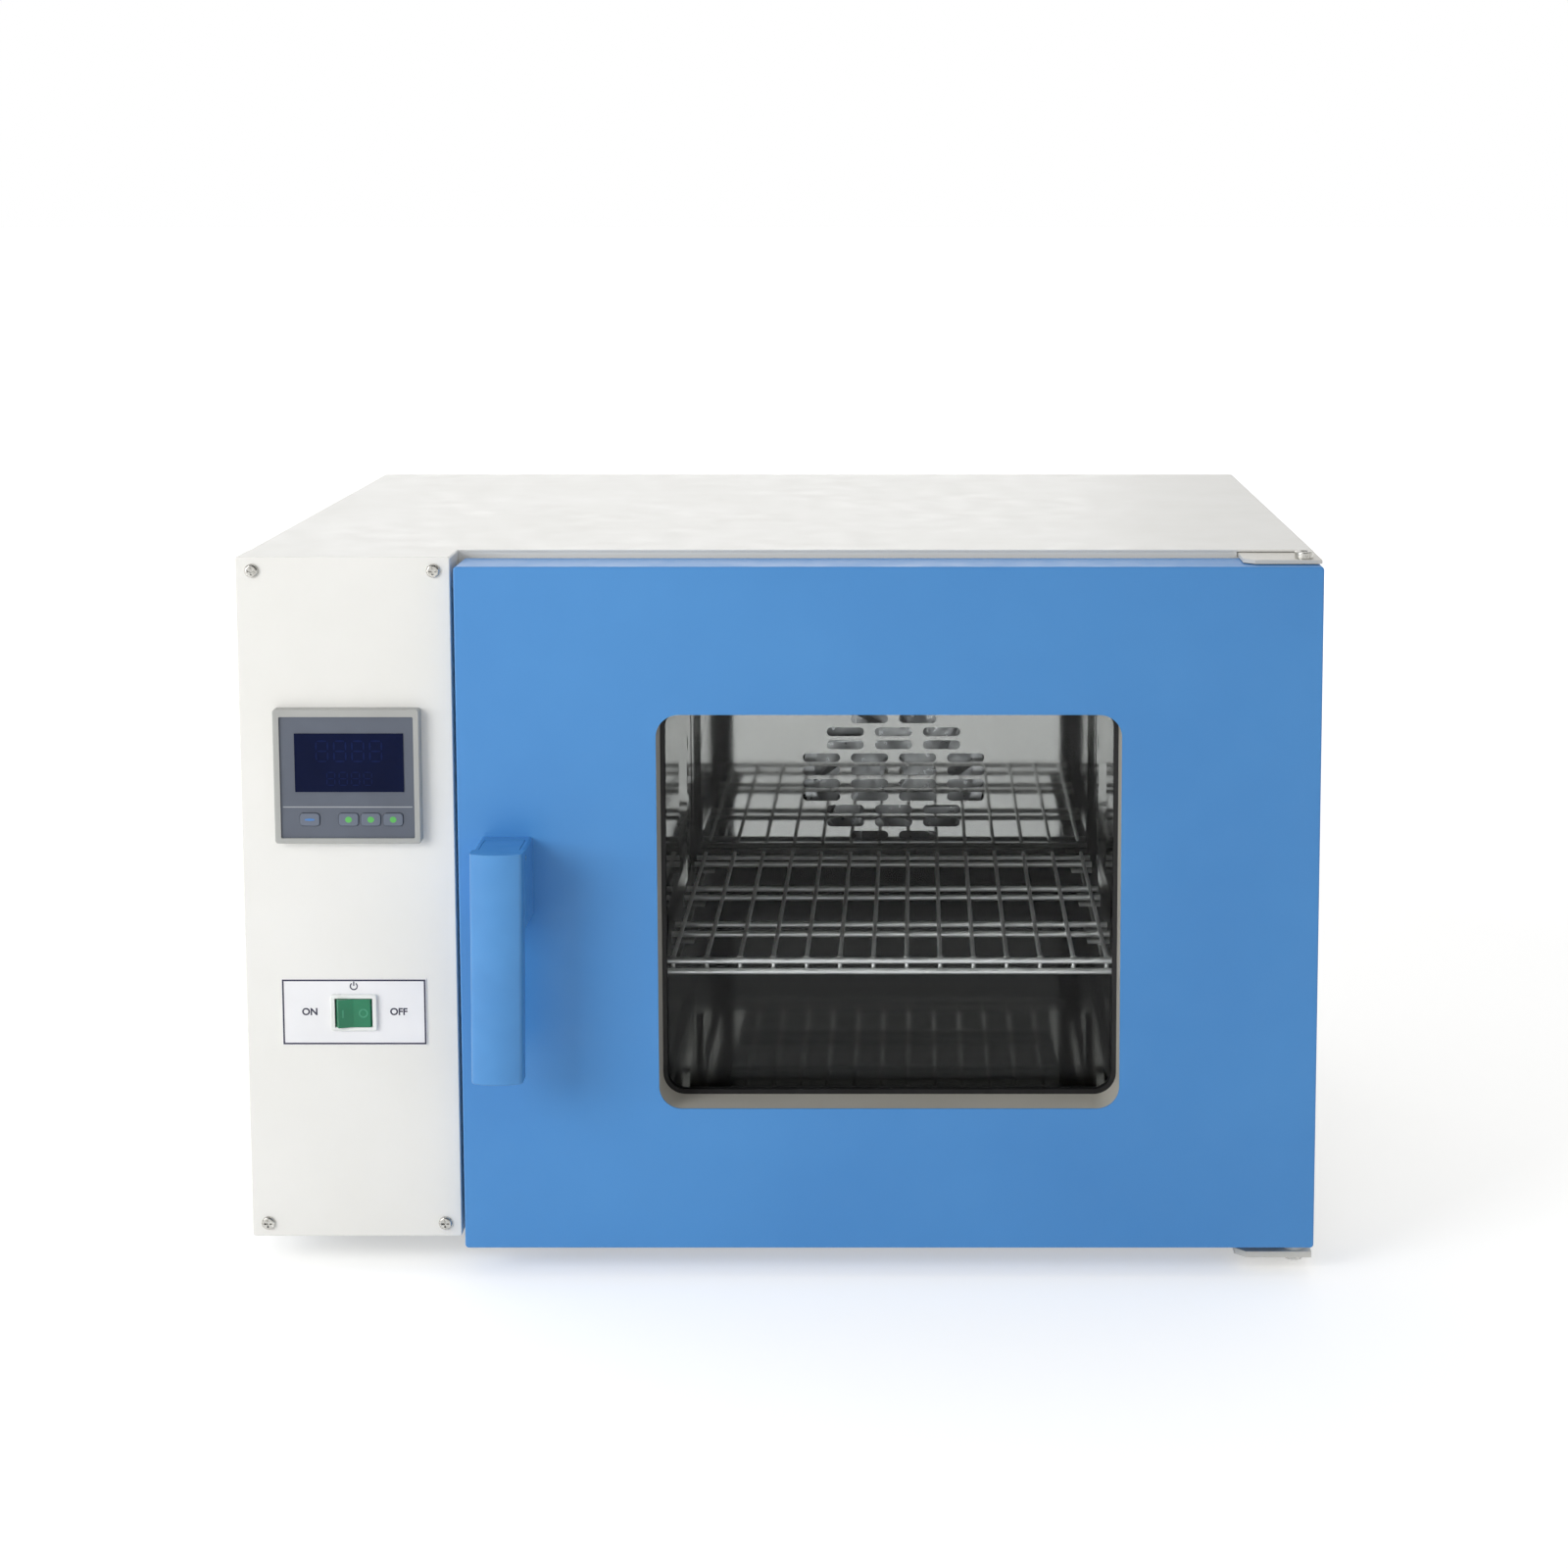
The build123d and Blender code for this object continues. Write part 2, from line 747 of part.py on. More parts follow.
# Ring heaters round the fan, each with two legs out through the liner's back
with BuildPart() as ring_heaters:
    for heater_radius, setback in zip(heater_rs, heater_setbacks):
        heater_y = baffle_y + chamber_wall + setback
        with Locations(upright(heater_y) * Pos(chamber_x, air_z)):
            Torus(heater_radius, heater_tube_r)
        leg_places = [(chamber_x + side * heater_leg_spread / 2, air_z - heater_radius) for side in (-1, 1)]
        with BuildSketch(upright(heater_y)):
            with Locations(*leg_places):
                Circle(heater_tube_r)
        extrude(amount=-(liner_back_y + terminal_out - heater_y))
        with BuildSketch(upright(chamber_back_y)):
            with Locations(*leg_places):
                Circle(terminal_r)
        extrude(amount=terminal_t)
save(ring_heaters, "ring_heaters")

# Temperature probe: a thin sheath through the right wall, held by a nut outside
with BuildPart() as temperature_probe:
    with BuildSketch(Plane.YZ.offset(chamber_right + chamber_wall)):
        with Locations((probe_y, probe_z)):
            RegularPolygon(probe_nut_flats / 2, 6, major_radius=False)
    extrude(amount=probe_nut_h)
    with BuildSketch(Plane.YZ.offset(chamber_right + chamber_wall)):
        with Locations((probe_y, probe_z)):
            Circle(probe_r)
    extrude(amount=-(chamber_wall + probe_reach))
    fillet(temperature_probe.faces().sort_by(Axis.X)[0].edges(), probe_r - seam)
save(temperature_probe, "temperature_probe")

# Hinge plates: the upper one runs back under the outer cover, the lower one is joggled up to the base pan
top_plate_z = top_z - top_plate_drop
with BuildPart() as top_hinge_plate:
    with BuildSketch(Plane.XY.offset(top_plate_z - top_plate_t)) as plate_outline:
        with Locations((hinge_plate_x, hinge_plate_y)):
            Rectangle(hinge_plate_w, fascia_y - run_gap - hinge_plate_y, align=(Align.CENTER, Align.MIN))
        chamfer(plate_outline.vertices().group_by(Axis.Y)[0].sort_by(Axis.X)[0], plate_inner_chamfer)
        with Locations((hinge_plate_x - hinge_plate_w / 2, fascia_y - run_gap)):
            Rectangle(hinge_plate_w - sheet - seam, plate_reach_in, align=(Align.MIN, Align.MIN))
        with Locations((hinge_x, hinge_y)):
            Circle(pin_r + pin_fit, mode=Mode.SUBTRACT)
    extrude(amount=top_plate_t)
save(top_hinge_plate, "top_hinge_plate")

bottom_plate_z = base_z - bottom_plate_drop
joggle_y = fascia_y + joggle_setback
with BuildPart() as bottom_hinge_plate:
    with BuildSketch(Plane.YZ.offset(hinge_plate_x - hinge_plate_w / 2)):
        with Locations((hinge_plate_y, bottom_plate_z)):
            Rectangle(
                joggle_y + bottom_plate_t - hinge_plate_y, bottom_plate_t, align=(Align.MIN, Align.MIN)
            )
        with Locations((joggle_y, bottom_plate_z)):
            Rectangle(bottom_plate_t, bottom_plate_drop, align=(Align.MIN, Align.MIN))
        with Locations((joggle_y, base_z)):
            Rectangle(plate_reach_in, bottom_plate_t, align=(Align.MIN, Align.MAX))
    extrude(amount=hinge_plate_w)
    front_corner = bottom_hinge_plate.edges().filter_by(Axis.Z).group_by(Axis.Y)[0].sort_by(Axis.X)[0]
    chamfer(front_corner, plate_inner_chamfer)
    with BuildSketch(Plane.XY.offset(bottom_plate_z)):
        with Locations((hinge_x, hinge_y)):
            Circle(pin_r + pin_fit)
    extrude(amount=bottom_plate_t, mode=Mode.SUBTRACT)
save(bottom_hinge_plate, "bottom_hinge_plate")

# Screws that hold the lower plate to the base pan
with BuildPart() as bottom_plate_screws:
    with BuildSketch(Plane.XY.offset(base_z - bottom_plate_t)):
        with Locations((hinge_plate_x, joggle_y + bottom_plate_t + plate_screw_setback)):
            with GridLocations(plate_screw_pitch, plate_screw_pitch, 2, 1):
                Circle(screw_head_r)
    extrude(amount=-screw_head_h)
save(bottom_plate_screws, "bottom_plate_screws")

# Hinge bolts: a socket-headed one down through the upper plate, a plain one up through the lower plate
pin_end_top = top_plate_z - top_plate_t - pin_length
pin_end_bottom = bottom_plate_z + bottom_plate_t + pin_length
with BuildPart() as top_hinge_bolt:
    with BuildSketch(Plane.XY.offset(pin_end_top)):
        with Locations((hinge_x, hinge_y)):
            Circle(pin_r)
    extrude(amount=top_plate_z - pin_end_top)
    with BuildSketch(Plane.XY.offset(top_plate_z)):
        with Locations((hinge_x, hinge_y)):
            Circle(bolt_head_r)
    extrude(amount=bolt_head_h)
    fillet(top_hinge_bolt.faces().sort_by(Axis.Z)[-1].edges(), bolt_head_round)
    with BuildSketch(Plane.XY.offset(top_plate_z + bolt_head_h)):
        with Locations((hinge_x, hinge_y)):
            RegularPolygon(hex_key / 2, 6, major_radius=False)
    extrude(amount=-bolt_head_h / 2, mode=Mode.SUBTRACT)
save(top_hinge_bolt, "top_hinge_bolt")

with BuildPart() as bottom_hinge_bolt:
    with BuildSketch(Plane.XY.offset(bottom_plate_z)):
        with Locations((hinge_x, hinge_y)):
            Circle(bolt_head_r)
    extrude(amount=-bottom_head_h)
    with BuildSketch(Plane.XY.offset(bottom_plate_z)):
        with Locations((hinge_x, hinge_y)):
            Circle(pin_r)
    extrude(amount=pin_end_bottom - bottom_plate_z)
save(bottom_hinge_bolt, "bottom_hinge_bolt")

# Spacer washer that the door turns on, between the lower plate and the door
spacer_z = bottom_plate_z + bottom_plate_t
with BuildPart() as hinge_spacer:
    with BuildSketch(Plane.XY.offset(spacer_z)):
        with Locations((hinge_x, hinge_y)):
            Circle(spacer_r)
            Circle(pin_r + pin_fit, mode=Mode.SUBTRACT)
    extrude(amount=door_bottom - run_gap - spacer_z)
save(hinge_spacer, "hinge_spacer")

# Bushes that turn on the hinge bolts, let into the door's top and bottom edges
bush_r = pin_r + pin_fit + bush_wall
with BuildPart() as hinge_bushes:
    for face_z, inward in ((door_top, -1), (door_bottom, 1)):
        with BuildSketch(Plane.XY.offset(face_z)):
            with Locations((hinge_x, hinge_y)):
                Circle(bush_r)
        extrude(amount=inward * pin_length)
        with BuildSketch(Plane.XY.offset(face_z + inward * door_sheet)):
            with Locations((hinge_x, hinge_y)):
                Circle(bush_flange_r)
        extrude(amount=inward * door_sheet)
        with BuildSketch(Plane.XY.offset(face_z)):
            with Locations((hinge_x, hinge_y)):
                Circle(pin_r + pin_fit)
        extrude(amount=inward * pin_length, mode=Mode.SUBTRACT)
save(hinge_bushes, "hinge_bushes")

# Door skin: a folded pan with rounded front edges, the window cut-out, bush holes and the handle's slot
with BuildPart() as door_skin:
    with BuildSketch(upright(door_back_y)):
        with Locations((door_x, door_z)):
            Rectangle(door_w, door_h)
    extrude(amount=door_t)
    fillet(door_skin.edges().filter_by(Axis.Y), door_edge_r)
    fillet(door_skin.faces().sort_by(Axis.Y)[0].edges(), door_front_r)
    with BuildSketch(upright(door_back_y)):
        with Locations((door_x, door_z)):
            RectangleRounded(door_w - 2 * door_sheet, door_h - 2 * door_sheet, door_edge_r - door_sheet)
    extrude(amount=door_t - door_sheet, mode=Mode.SUBTRACT)
    with BuildSketch(upright(door_front_y)):
        with Locations((window_x, window_z)):
            RectangleRounded(window_w, window_h, window_r)
        latch_slot(door_front_y + door_sheet, latch_clear, latch_clear, Mode.ADD)
    extrude(amount=-door_sheet, mode=Mode.SUBTRACT)
    with BuildSketch(Plane.XY.offset(door_bottom)):
        with Locations((hinge_x, hinge_y)):
            Circle(bush_r)
    extrude(amount=door_h, mode=Mode.SUBTRACT)
save(door_skin, "door_skin")

# Door liner: the flat sheet that closes the door's back
with BuildPart() as door_liner:
    with BuildSketch(upright(door_back_y)):
        with Locations((door_x, door_z)):
            RectangleRounded(
                door_w - 2 * door_sheet - 2 * seam,
                door_h - 2 * door_sheet - 2 * seam,
                door_edge_r - door_sheet,
            )
        with Locations((window_x, window_z)):
            RectangleRounded(window_w, window_h, window_r, mode=Mode.SUBTRACT)
        latch_slot(door_back_y, latch_clear, latch_clear, Mode.SUBTRACT)
    extrude(amount=door_sheet)
save(door_liner, "door_liner")

# Window: reveal, seal, two panes and the black frame between them, stacked from the liner forward
rear_pane_y = door_back_y - door_sheet - pane_t
pane_frame_y = rear_pane_y - pane_gap
front_pane_y = pane_frame_y - pane_t
seal_y = front_pane_y - seal_t
pane_w = window_w + 2 * pane_lap
pane_h = window_h + 2 * pane_lap
with BuildPart() as window_panes:
    for pane_y in (rear_pane_y, front_pane_y):
        with BuildSketch(upright(pane_y + pane_t)):
            with Locations((window_x, window_z)):
                RectangleRounded(pane_w, pane_h, pane_lap)
        extrude(amount=pane_t)
save(window_panes, "window_panes")

for name, back_y, thickness in (("pane_frame", pane_frame_y, pane_gap), ("window_seal", seal_y, seal_t)):
    with BuildPart() as window_ring:
        with BuildSketch(upright(back_y + thickness)):
            with Locations((window_x, window_z)):
                RectangleRounded(pane_w, pane_h, pane_lap)
                RectangleRounded(
                    window_w - 2 * seal_show,
                    window_h - 2 * seal_show,
                    window_r - seal_show,
                    mode=Mode.SUBTRACT,
                )
        extrude(amount=thickness)
    save(window_ring, name)

with BuildPart() as window_reveal:
    with BuildSketch(upright(seal_y)):
        with Locations((window_x, window_z)):
            RectangleRounded(window_w + 2 * reveal_wall, window_h + 2 * reveal_wall, window_r + reveal_wall)
            RectangleRounded(window_w, window_h, window_r, mode=Mode.SUBTRACT)
    extrude(amount=seal_y - door_front_y - door_sheet)
save(window_reveal, "window_reveal")

# Door lagging: a mineral wool frame between the skin and the liner
with BuildPart() as door_lagging:
    with BuildSketch(upright(door_back_y - door_sheet - lagging_gap)):
        with Locations((door_x, door_z)):
            Rectangle(
                door_w - 2 * (hinge_inset_x + bush_flange_r + lagging_gap),
                door_h - 2 * (door_sheet + lagging_gap),
            )
        with Locations((window_x, window_z)):
            Rectangle(pane_w + 2 * lagging_gap, pane_h + 2 * lagging_gap, mode=Mode.SUBTRACT)
        latch_slot(door_back_y, latch_side_clear, latch_side_clear, Mode.SUBTRACT)
    extrude(amount=door_t - 2 * (door_sheet + lagging_gap))
save(door_lagging, "door_lagging")

# Door gasket: a silicone ring on the liner that closes on the fascia round the chamber
gasket_in_w = chamber_w + 2 * gasket_margin
gasket_in_h = chamber_h + 2 * gasket_margin
with BuildPart() as door_gasket:
    with BuildSketch(upright(fascia_y - run_gap)):
        with Locations((chamber_x, chamber_z)):
            RectangleRounded(gasket_in_w + 2 * gasket_w, gasket_in_h + 2 * gasket_w, chamber_r + gasket_w)
            RectangleRounded(gasket_in_w, gasket_in_h, chamber_r, mode=Mode.SUBTRACT)
    extrude(amount=door_gap - run_gap)
    fillet(door_gasket.faces().sort_by(Axis.Y)[-1].edges(), gasket_lip_r)
save(door_gasket, "door_gasket")

# Handle base: a moulded block on the door with an open slot for the lever's arm and the latch bar
handle_base_z = handle_top - handle_base_h / 2
with BuildPart() as handle_base:
    with BuildSketch(upright(door_front_y)):
        with Locations((handle_x, handle_base_z)):
            Rectangle(handle_w, handle_base_h)
    extrude(amount=handle_base_out)
    outer_face = handle_base.faces().sort_by(Axis.Y)[0]
    fillet(outer_face.edges().filter_by(Axis.X).sort_by(Axis.Z)[-1], handle_nose_r)
    fillet(handle_base.edges().filter_by(Axis.Y), handle_base_r)
    with BuildSketch(upright(door_front_y - handle_base_out)):
        with Locations((handle_x, handle_top)):
            Rectangle(arm_w + 2 * arm_clear, handle_base_h - cheek_bottom, align=(Align.CENTER, Align.MAX))
    extrude(amount=-(handle_base_out - cheek_back), mode=Mode.SUBTRACT)
    with BuildSketch(upright(door_front_y)):
        latch_slot(door_front_y, latch_clear, latch_roof_clear, Mode.ADD)
    extrude(amount=handle_base_out / 2, mode=Mode.SUBTRACT)
    with BuildSketch(Plane.YZ.offset(handle_x - handle_w / 2)):
        with Locations((pivot_y, pivot_z)):
            Circle(pivot_r)
    extrude(amount=handle_w, mode=Mode.SUBTRACT)
save(handle_base, "handle_base")

# Pivot pin through the base's cheeks and the lever's arm
with BuildPart() as handle_pin:
    with BuildSketch(Plane.YZ.offset(handle_x - handle_w / 2)):
        with Locations((pivot_y, pivot_z)):
            Circle(pivot_r)
    extrude(amount=handle_w)
save(handle_pin, "handle_pin")

# Handle lever: a grip lofted between a top and a bottom section, with an arm back to the pivot
grip_top = handle_top + grip_top_rise
grip_bottom = grip_top - grip_h
grip_back_y = door_front_y - grip_back_out
grip_front_y = door_front_y - grip_out
with BuildPart() as handle_lever:
    for height, shift, narrower in ((grip_bottom, grip_shift, grip_taper), (grip_top, 0, 0)):
        half = (grip_w - narrower) / 2
        mid_x = handle_x - shift
        with BuildSketch(Plane.XY.offset(height)):
            with BuildLine():
                Polyline(
                    (mid_x - half, grip_front_y + grip_crown),
                    (mid_x - half, grip_back_y),
                    (mid_x + half, grip_back_y),
                    (mid_x + half, grip_front_y + grip_crown),
                )
                ThreePointArc(
                    (mid_x - half, grip_front_y + grip_crown),
                    (mid_x, grip_front_y),
                    (mid_x + half, grip_front_y + grip_crown),
                )
            make_face()
    loft()
    long_edges = handle_lever.edges().filter_by(lambda edge: edge.length > 0.9 * grip_h)
    fillet(long_edges.group_by(Axis.Y)[0], grip_front_r)
    fillet(handle_lever.faces().sort_by(Axis.Z)[0].edges(), grip_end_r)
    with BuildSketch(Plane.YZ.offset(handle_x - arm_w / 2)):
        with Locations((grip_back_y, handle_top)):
            Rectangle(pivot_y + arm_back - grip_back_y, pivot_below + arm_r, align=(Align.MIN, Align.MAX))
        with Locations((pivot_y, pivot_z)):
            Circle(pivot_r + pin_fit, mode=Mode.SUBTRACT)
    extrude(amount=arm_w)
    with BuildSketch(Plane.YZ.offset(handle_x - latch_bar_t / 2)):
        with Locations((pivot_y + arm_r, pivot_z)):
            Rectangle(arm_back, latch_bar_h, align=(Align.MIN, Align.CENTER))
    extrude(amount=latch_bar_t, mode=Mode.SUBTRACT)
save(handle_lever, "handle_lever")

# Latch bar: a steel tongue riveted in the arm, through the door into the keeper
latch_end_y = fascia_y + latch_reach
with BuildPart() as latch_bar:
    with BuildSketch(Plane.YZ.offset(handle_x - latch_bar_t / 2)):
        with Locations((pivot_y + arm_r, pivot_z)):
            Rectangle(latch_end_y - pivot_y - arm_r, latch_bar_h, align=(Align.MIN, Align.CENTER))
    extrude(amount=latch_bar_t)
    chamfer(latch_bar.faces().sort_by(Axis.Y)[-1].edges().filter_by(Axis.X), latch_bar_t * 2 / 3)
save(latch_bar, "latch_bar")

# Keeper: a folded steel pocket behind the fascia for the end of the latch bar
with BuildPart() as latch_keeper:
    with BuildSketch(upright(inside_y)) as keeper_outline:
        latch_slot(latch_end_y, latch_side_clear + keeper_sheet, latch_clear + keeper_sheet, Mode.ADD)
    extrude(amount=-keeper_depth)
    with BuildSketch(upright(inside_y)):
        latch_slot(latch_end_y, latch_side_clear, latch_clear, Mode.ADD)
    extrude(amount=keeper_sheet - keeper_depth, mode=Mode.SUBTRACT)
save(latch_keeper, "latch_keeper")

# Control panel: a folded white box in front of the fascia, cut out for the controller and the switch
controller_x = left_x + controller_inset_x + controller_w / 2
controller_z = top_z - controller_below_top - controller_h / 2
switch_z = top_z - power_plate_below_top - power_plate_h / 2
panel_z = base_z + cabinet_h / 2
screw_pitch_x = panel_w - 2 * panel_screw_inset_x
screw_pitch_z = cabinet_h - 2 * panel_screw_inset_z
with BuildPart() as control_panel:
    with BuildSketch(upright(fascia_y)):
        with Locations((panel_x, panel_z)):
            Rectangle(panel_w, cabinet_h)
    extrude(amount=panel_proud)
    fillet(control_panel.edges().filter_by(Axis.Y), panel_edge_r)
    fillet(control_panel.faces().sort_by(Axis.Y)[0].edges(), panel_front_r)
    with BuildSketch(upright(fascia_y)):
        with Locations((panel_x, panel_z)):
            Rectangle(panel_w - 2 * sheet, cabinet_h - 2 * sheet)
    extrude(amount=panel_proud - sheet, mode=Mode.SUBTRACT)
    with BuildSketch(upright(panel_y)):
        with Locations((controller_x, controller_z)):
            Rectangle(controller_body_w + 2 * cutout_clear, controller_body_h + 2 * cutout_clear)
        with Locations((controller_x, switch_z)):
            Rectangle(switch_body_w + 2 * cutout_clear, switch_body_h + 2 * cutout_clear)
        with Locations((panel_x, panel_z)):
            with GridLocations(screw_pitch_x, screw_pitch_z, 2, 2):
                Circle(screw_shank_r + seam)
    extrude(amount=-sheet, mode=Mode.SUBTRACT)
save(control_panel, "control_panel")

# Posts behind the panel's corners, which its screws go into
with BuildPart() as panel_posts:
    with BuildSketch(upright(fascia_y)):
        with Locations((panel_x, panel_z)):
            with GridLocations(screw_pitch_x, screw_pitch_z, 2, 2):
                Rectangle(post_w, post_h)
                Circle(screw_shank_r, mode=Mode.SUBTRACT)
    extrude(amount=panel_proud - sheet)
save(panel_posts, "panel_posts")

# Panel screws: pan heads with a cross recess
with BuildPart() as panel_screws:
    with BuildSketch(upright(panel_y)):
        with Locations((panel_x, panel_z)):
            with GridLocations(screw_pitch_x, screw_pitch_z, 2, 2):
                Circle(screw_head_r)
    extrude(amount=screw_head_h)
    fillet(panel_screws.faces().group_by(Axis.Y)[0].edges(), screw_head_h * 2 / 3)
    with BuildSketch(upright(panel_y)):
        with Locations((panel_x, panel_z)):
            with GridLocations(screw_pitch_x, screw_pitch_z, 2, 2):
                Circle(screw_shank_r)
    extrude(amount=-screw_grip)
    with BuildSketch(upright(panel_y - screw_head_h)):
        with Locations((panel_x, panel_z)):
            with GridLocations(screw_pitch_x, screw_pitch_z, 2, 2):
                Rectangle(recess_l, recess_w)
                Rectangle(recess_w, recess_l)
    extrude(amount=-recess_depth, mode=Mode.SUBTRACT)
save(panel_screws, "panel_screws")

# Controller: a bezel proud of the panel with its body behind, and a face plate with display and keys
case_front_y = panel_y - controller_proud
face_x = controller_x
face_z = controller_z + (frame_bottom - frame_top) / 2
face_w = controller_w - 2 * frame_side
face_h = controller_h - frame_top - frame_bottom
face_y = case_front_y + face_recess
controller_left = controller_x - controller_w / 2
controller_top = controller_z + controller_h / 2
lens_x = controller_left + lens_in_x + lens_w / 2
lens_z = controller_top - lens_in_z - lens_h / 2
key_z = controller_top - key_in_z
with BuildPart() as controller_case:
    with BuildSketch(upright(panel_y)):
        with Locations((controller_x, controller_z)):
            RectangleRounded(controller_w, controller_h, controller_r)
    extrude(amount=controller_proud)
    chamfer(controller_case.faces().sort_by(Axis.Y)[0].edges(), face_recess / 2)
    with BuildSketch(upright(panel_y)):
        with Locations((controller_x, controller_z)):
            Rectangle(controller_body_w, controller_body_h)
    extrude(amount=-controller_body_d)
    with BuildSketch(upright(case_front_y)):
        with Locations((face_x, face_z)):
            RectangleRounded(face_w, face_h, face_r)
    extrude(amount=-(face_recess + face_t), mode=Mode.SUBTRACT)
save(controller_case, "controller_case")

with BuildPart() as controller_face:
    with BuildSketch(upright(face_y + face_t)):
        with Locations((face_x, face_z)):
            RectangleRounded(face_w, face_h, face_r)
    extrude(amount=face_t)
    with BuildSketch(upright(face_y)):
        with Locations((lens_x, lens_z)):
            Rectangle(lens_w, lens_h)
    extrude(amount=-(lens_t - lens_proud), mode=Mode.SUBTRACT)
    with BuildSketch(upright(face_y)):
        with Locations(*[(controller_left + in_x, key_z) for in_x in key_in_x]):
            RectangleRounded(key_w + 2 * key_clear, key_h + 2 * key_clear, key_r + key_clear)
    extrude(amount=-face_t, mode=Mode.SUBTRACT)
save(controller_face, "controller_face")

with BuildPart() as display_lens:
    with BuildSketch(upright(face_y + lens_t - lens_proud)):
        with Locations((lens_x, lens_z)):
            Rectangle(lens_w, lens_h)
    extrude(amount=lens_t)
save(display_lens, "display_lens")

# Keys: each travels in its own hole in the face plate
for name, in_x in zip(key_names, key_in_x):
    with BuildPart() as key:
        with BuildSketch(upright(face_y + key_depth)):
            with Locations((controller_left + in_x, key_z)):
                RectangleRounded(key_w, key_h, key_r)
        extrude(amount=key_depth + key_proud)
        fillet(key.faces().sort_by(Axis.Y)[0].edges(), key_proud * 2 / 3)
    save(key, name)

# Power plate, and the rocker switch that goes through it
plate_face_y = panel_y - power_plate_t
with BuildPart() as power_plate:
    with BuildSketch(upright(panel_y)):
        with Locations((controller_x, switch_z)):
            Rectangle(power_plate_w, power_plate_h)
            Rectangle(
                switch_body_w + 2 * cutout_clear, switch_body_h + 2 * cutout_clear, mode=Mode.SUBTRACT
            )
    extrude(amount=power_plate_t)
save(power_plate, "power_plate")

rocker_y = plate_face_y - switch_rim + rocker_sit
well_w = 2 * (rocker_r + rocker_clear)
well_h = rocker_h + 2 * rocker_clear
with BuildPart() as switch_housing:
    with BuildSketch(upright(plate_face_y)):
        with Locations((controller_x, switch_z)):
            RectangleRounded(switch_w, switch_h, switch_r)
    extrude(amount=switch_rim)
    fillet(switch_housing.faces().sort_by(Axis.Y)[0].edges(), switch_edge_r)
    with BuildSketch(upright(plate_face_y)):
        with Locations((controller_x, switch_z)):
            Rectangle(switch_body_w, switch_body_h)
    extrude(amount=-switch_body_d)
    with BuildSketch(upright(plate_face_y - switch_rim)):
        with Locations((controller_x, switch_z)):
            Rectangle(well_w, well_h)
    extrude(amount=-(rocker_sit + well_back), mode=Mode.SUBTRACT)
    with BuildSketch(Plane.XY.offset(switch_z)):
        with Locations((controller_x, rocker_y)):
            Circle(trunnion_r + pin_fit)
    extrude(amount=rocker_h / 2 + trunnion_l + rocker_clear, both=True, mode=Mode.SUBTRACT)
save(switch_housing, "switch_housing")

# Rocker: round ends about its pivot and a face in two flats, so that one half stands out
flat_rise = rocker_r * math.tan(math.radians(rocker_tilt))
with BuildPart() as power_rocker:
    with BuildSketch(Plane.XY.offset(switch_z)):
        with Locations((controller_x, rocker_y)):
            Circle(rocker_r)
            Polygon(
                (0, -rocker_face),
                (-rocker_r, -rocker_face - flat_rise),
                (-rocker_r, rocker_back),
                (rocker_r, rocker_back),
                (rocker_r, -rocker_face),
                align=None,
                mode=Mode.INTERSECT,
            )
    extrude(amount=rocker_h / 2, both=True)
    with BuildSketch(Plane.XY.offset(switch_z)):
        with Locations((controller_x, rocker_y)):
            Circle(trunnion_r)
    extrude(amount=rocker_h / 2 + trunnion_l, both=True)
save(power_rocker, "power_rocker")

# Rear cover: a sheet with a folded rim, pressed louvres, the vent hole and the cord gland's hole
cover_h = cabinet_h - sheet - seam
rim_bottom = base_z + flange + sheet
rim_h = base_z + cover_h - rim_bottom
gland_x = left_x + gland_in_x
gland_z = base_z + gland_up
bay_louvres_x = left_x + louvre_in_x
bay_louvres_z = top_z - louvre_below_top
louvre_fields = [(bay_louvres_x, bay_louvres_z, bay_louvre_rows), (chamber_x, air_z, motor_louvre_rows)]


def louvre_section(radius):
    """A quarter disc that stands out to the back, above the centre of each current location."""
    Circle(radius)
    Rectangle(2 * radius, 2 * radius, align=(Align.MAX, Align.CENTER), mode=Mode.SUBTRACT)
    Rectangle(2 * radius, radius, align=(Align.CENTER, Align.MAX), mode=Mode.SUBTRACT)


with BuildPart() as rear_cover:
    with BuildSketch(upright(rear_y)):
        with Locations((0, base_z + cover_h / 2)):
            Rectangle(inside_w, cover_h)
    extrude(amount=sheet)
    with BuildSketch(upright(cover_y)):
        with Locations((0, rim_bottom)):
            Rectangle(inside_w, rim_h, align=(Align.CENTER, Align.MIN))
        with Locations((0, rim_bottom)):
            Rectangle(
                inside_w - 2 * sheet, rim_h - sheet, align=(Align.CENTER, Align.MIN), mode=Mode.SUBTRACT
            )
    extrude(amount=flange)
    for field_x, field_z, rows in louvre_fields:
        lips = [(rear_y, field_z + (row - rows / 2) * louvre_pitch) for row in range(rows)]
        for column in range(louvre_columns):
            louvre_x = field_x + (column - (louvre_columns - 1) / 2) * louvre_column_pitch - louvre_l / 2
            with BuildSketch(Plane.YZ.offset(louvre_x)):
                with Locations(*lips):
                    louvre_section(louvre_out)
            extrude(amount=louvre_l)
            with BuildSketch(Plane.YZ.offset(louvre_x + sheet)):
                with Locations(*lips):
                    louvre_section(louvre_out - sheet)
                    Rectangle(sheet, louvre_out - sheet, align=(Align.MAX, Align.MIN))
            extrude(amount=louvre_l - 2 * sheet, mode=Mode.SUBTRACT)
    with BuildSketch(upright(rear_y)):
        with Locations((vent_x, vent_z)):
            Circle(vent_duct_r - vent_duct_wall)
        with Locations((gland_x, gland_z)):
            Circle(gland_thread_r + seam)
    extrude(amount=sheet, mode=Mode.SUBTRACT)
save(rear_cover, "rear_cover")

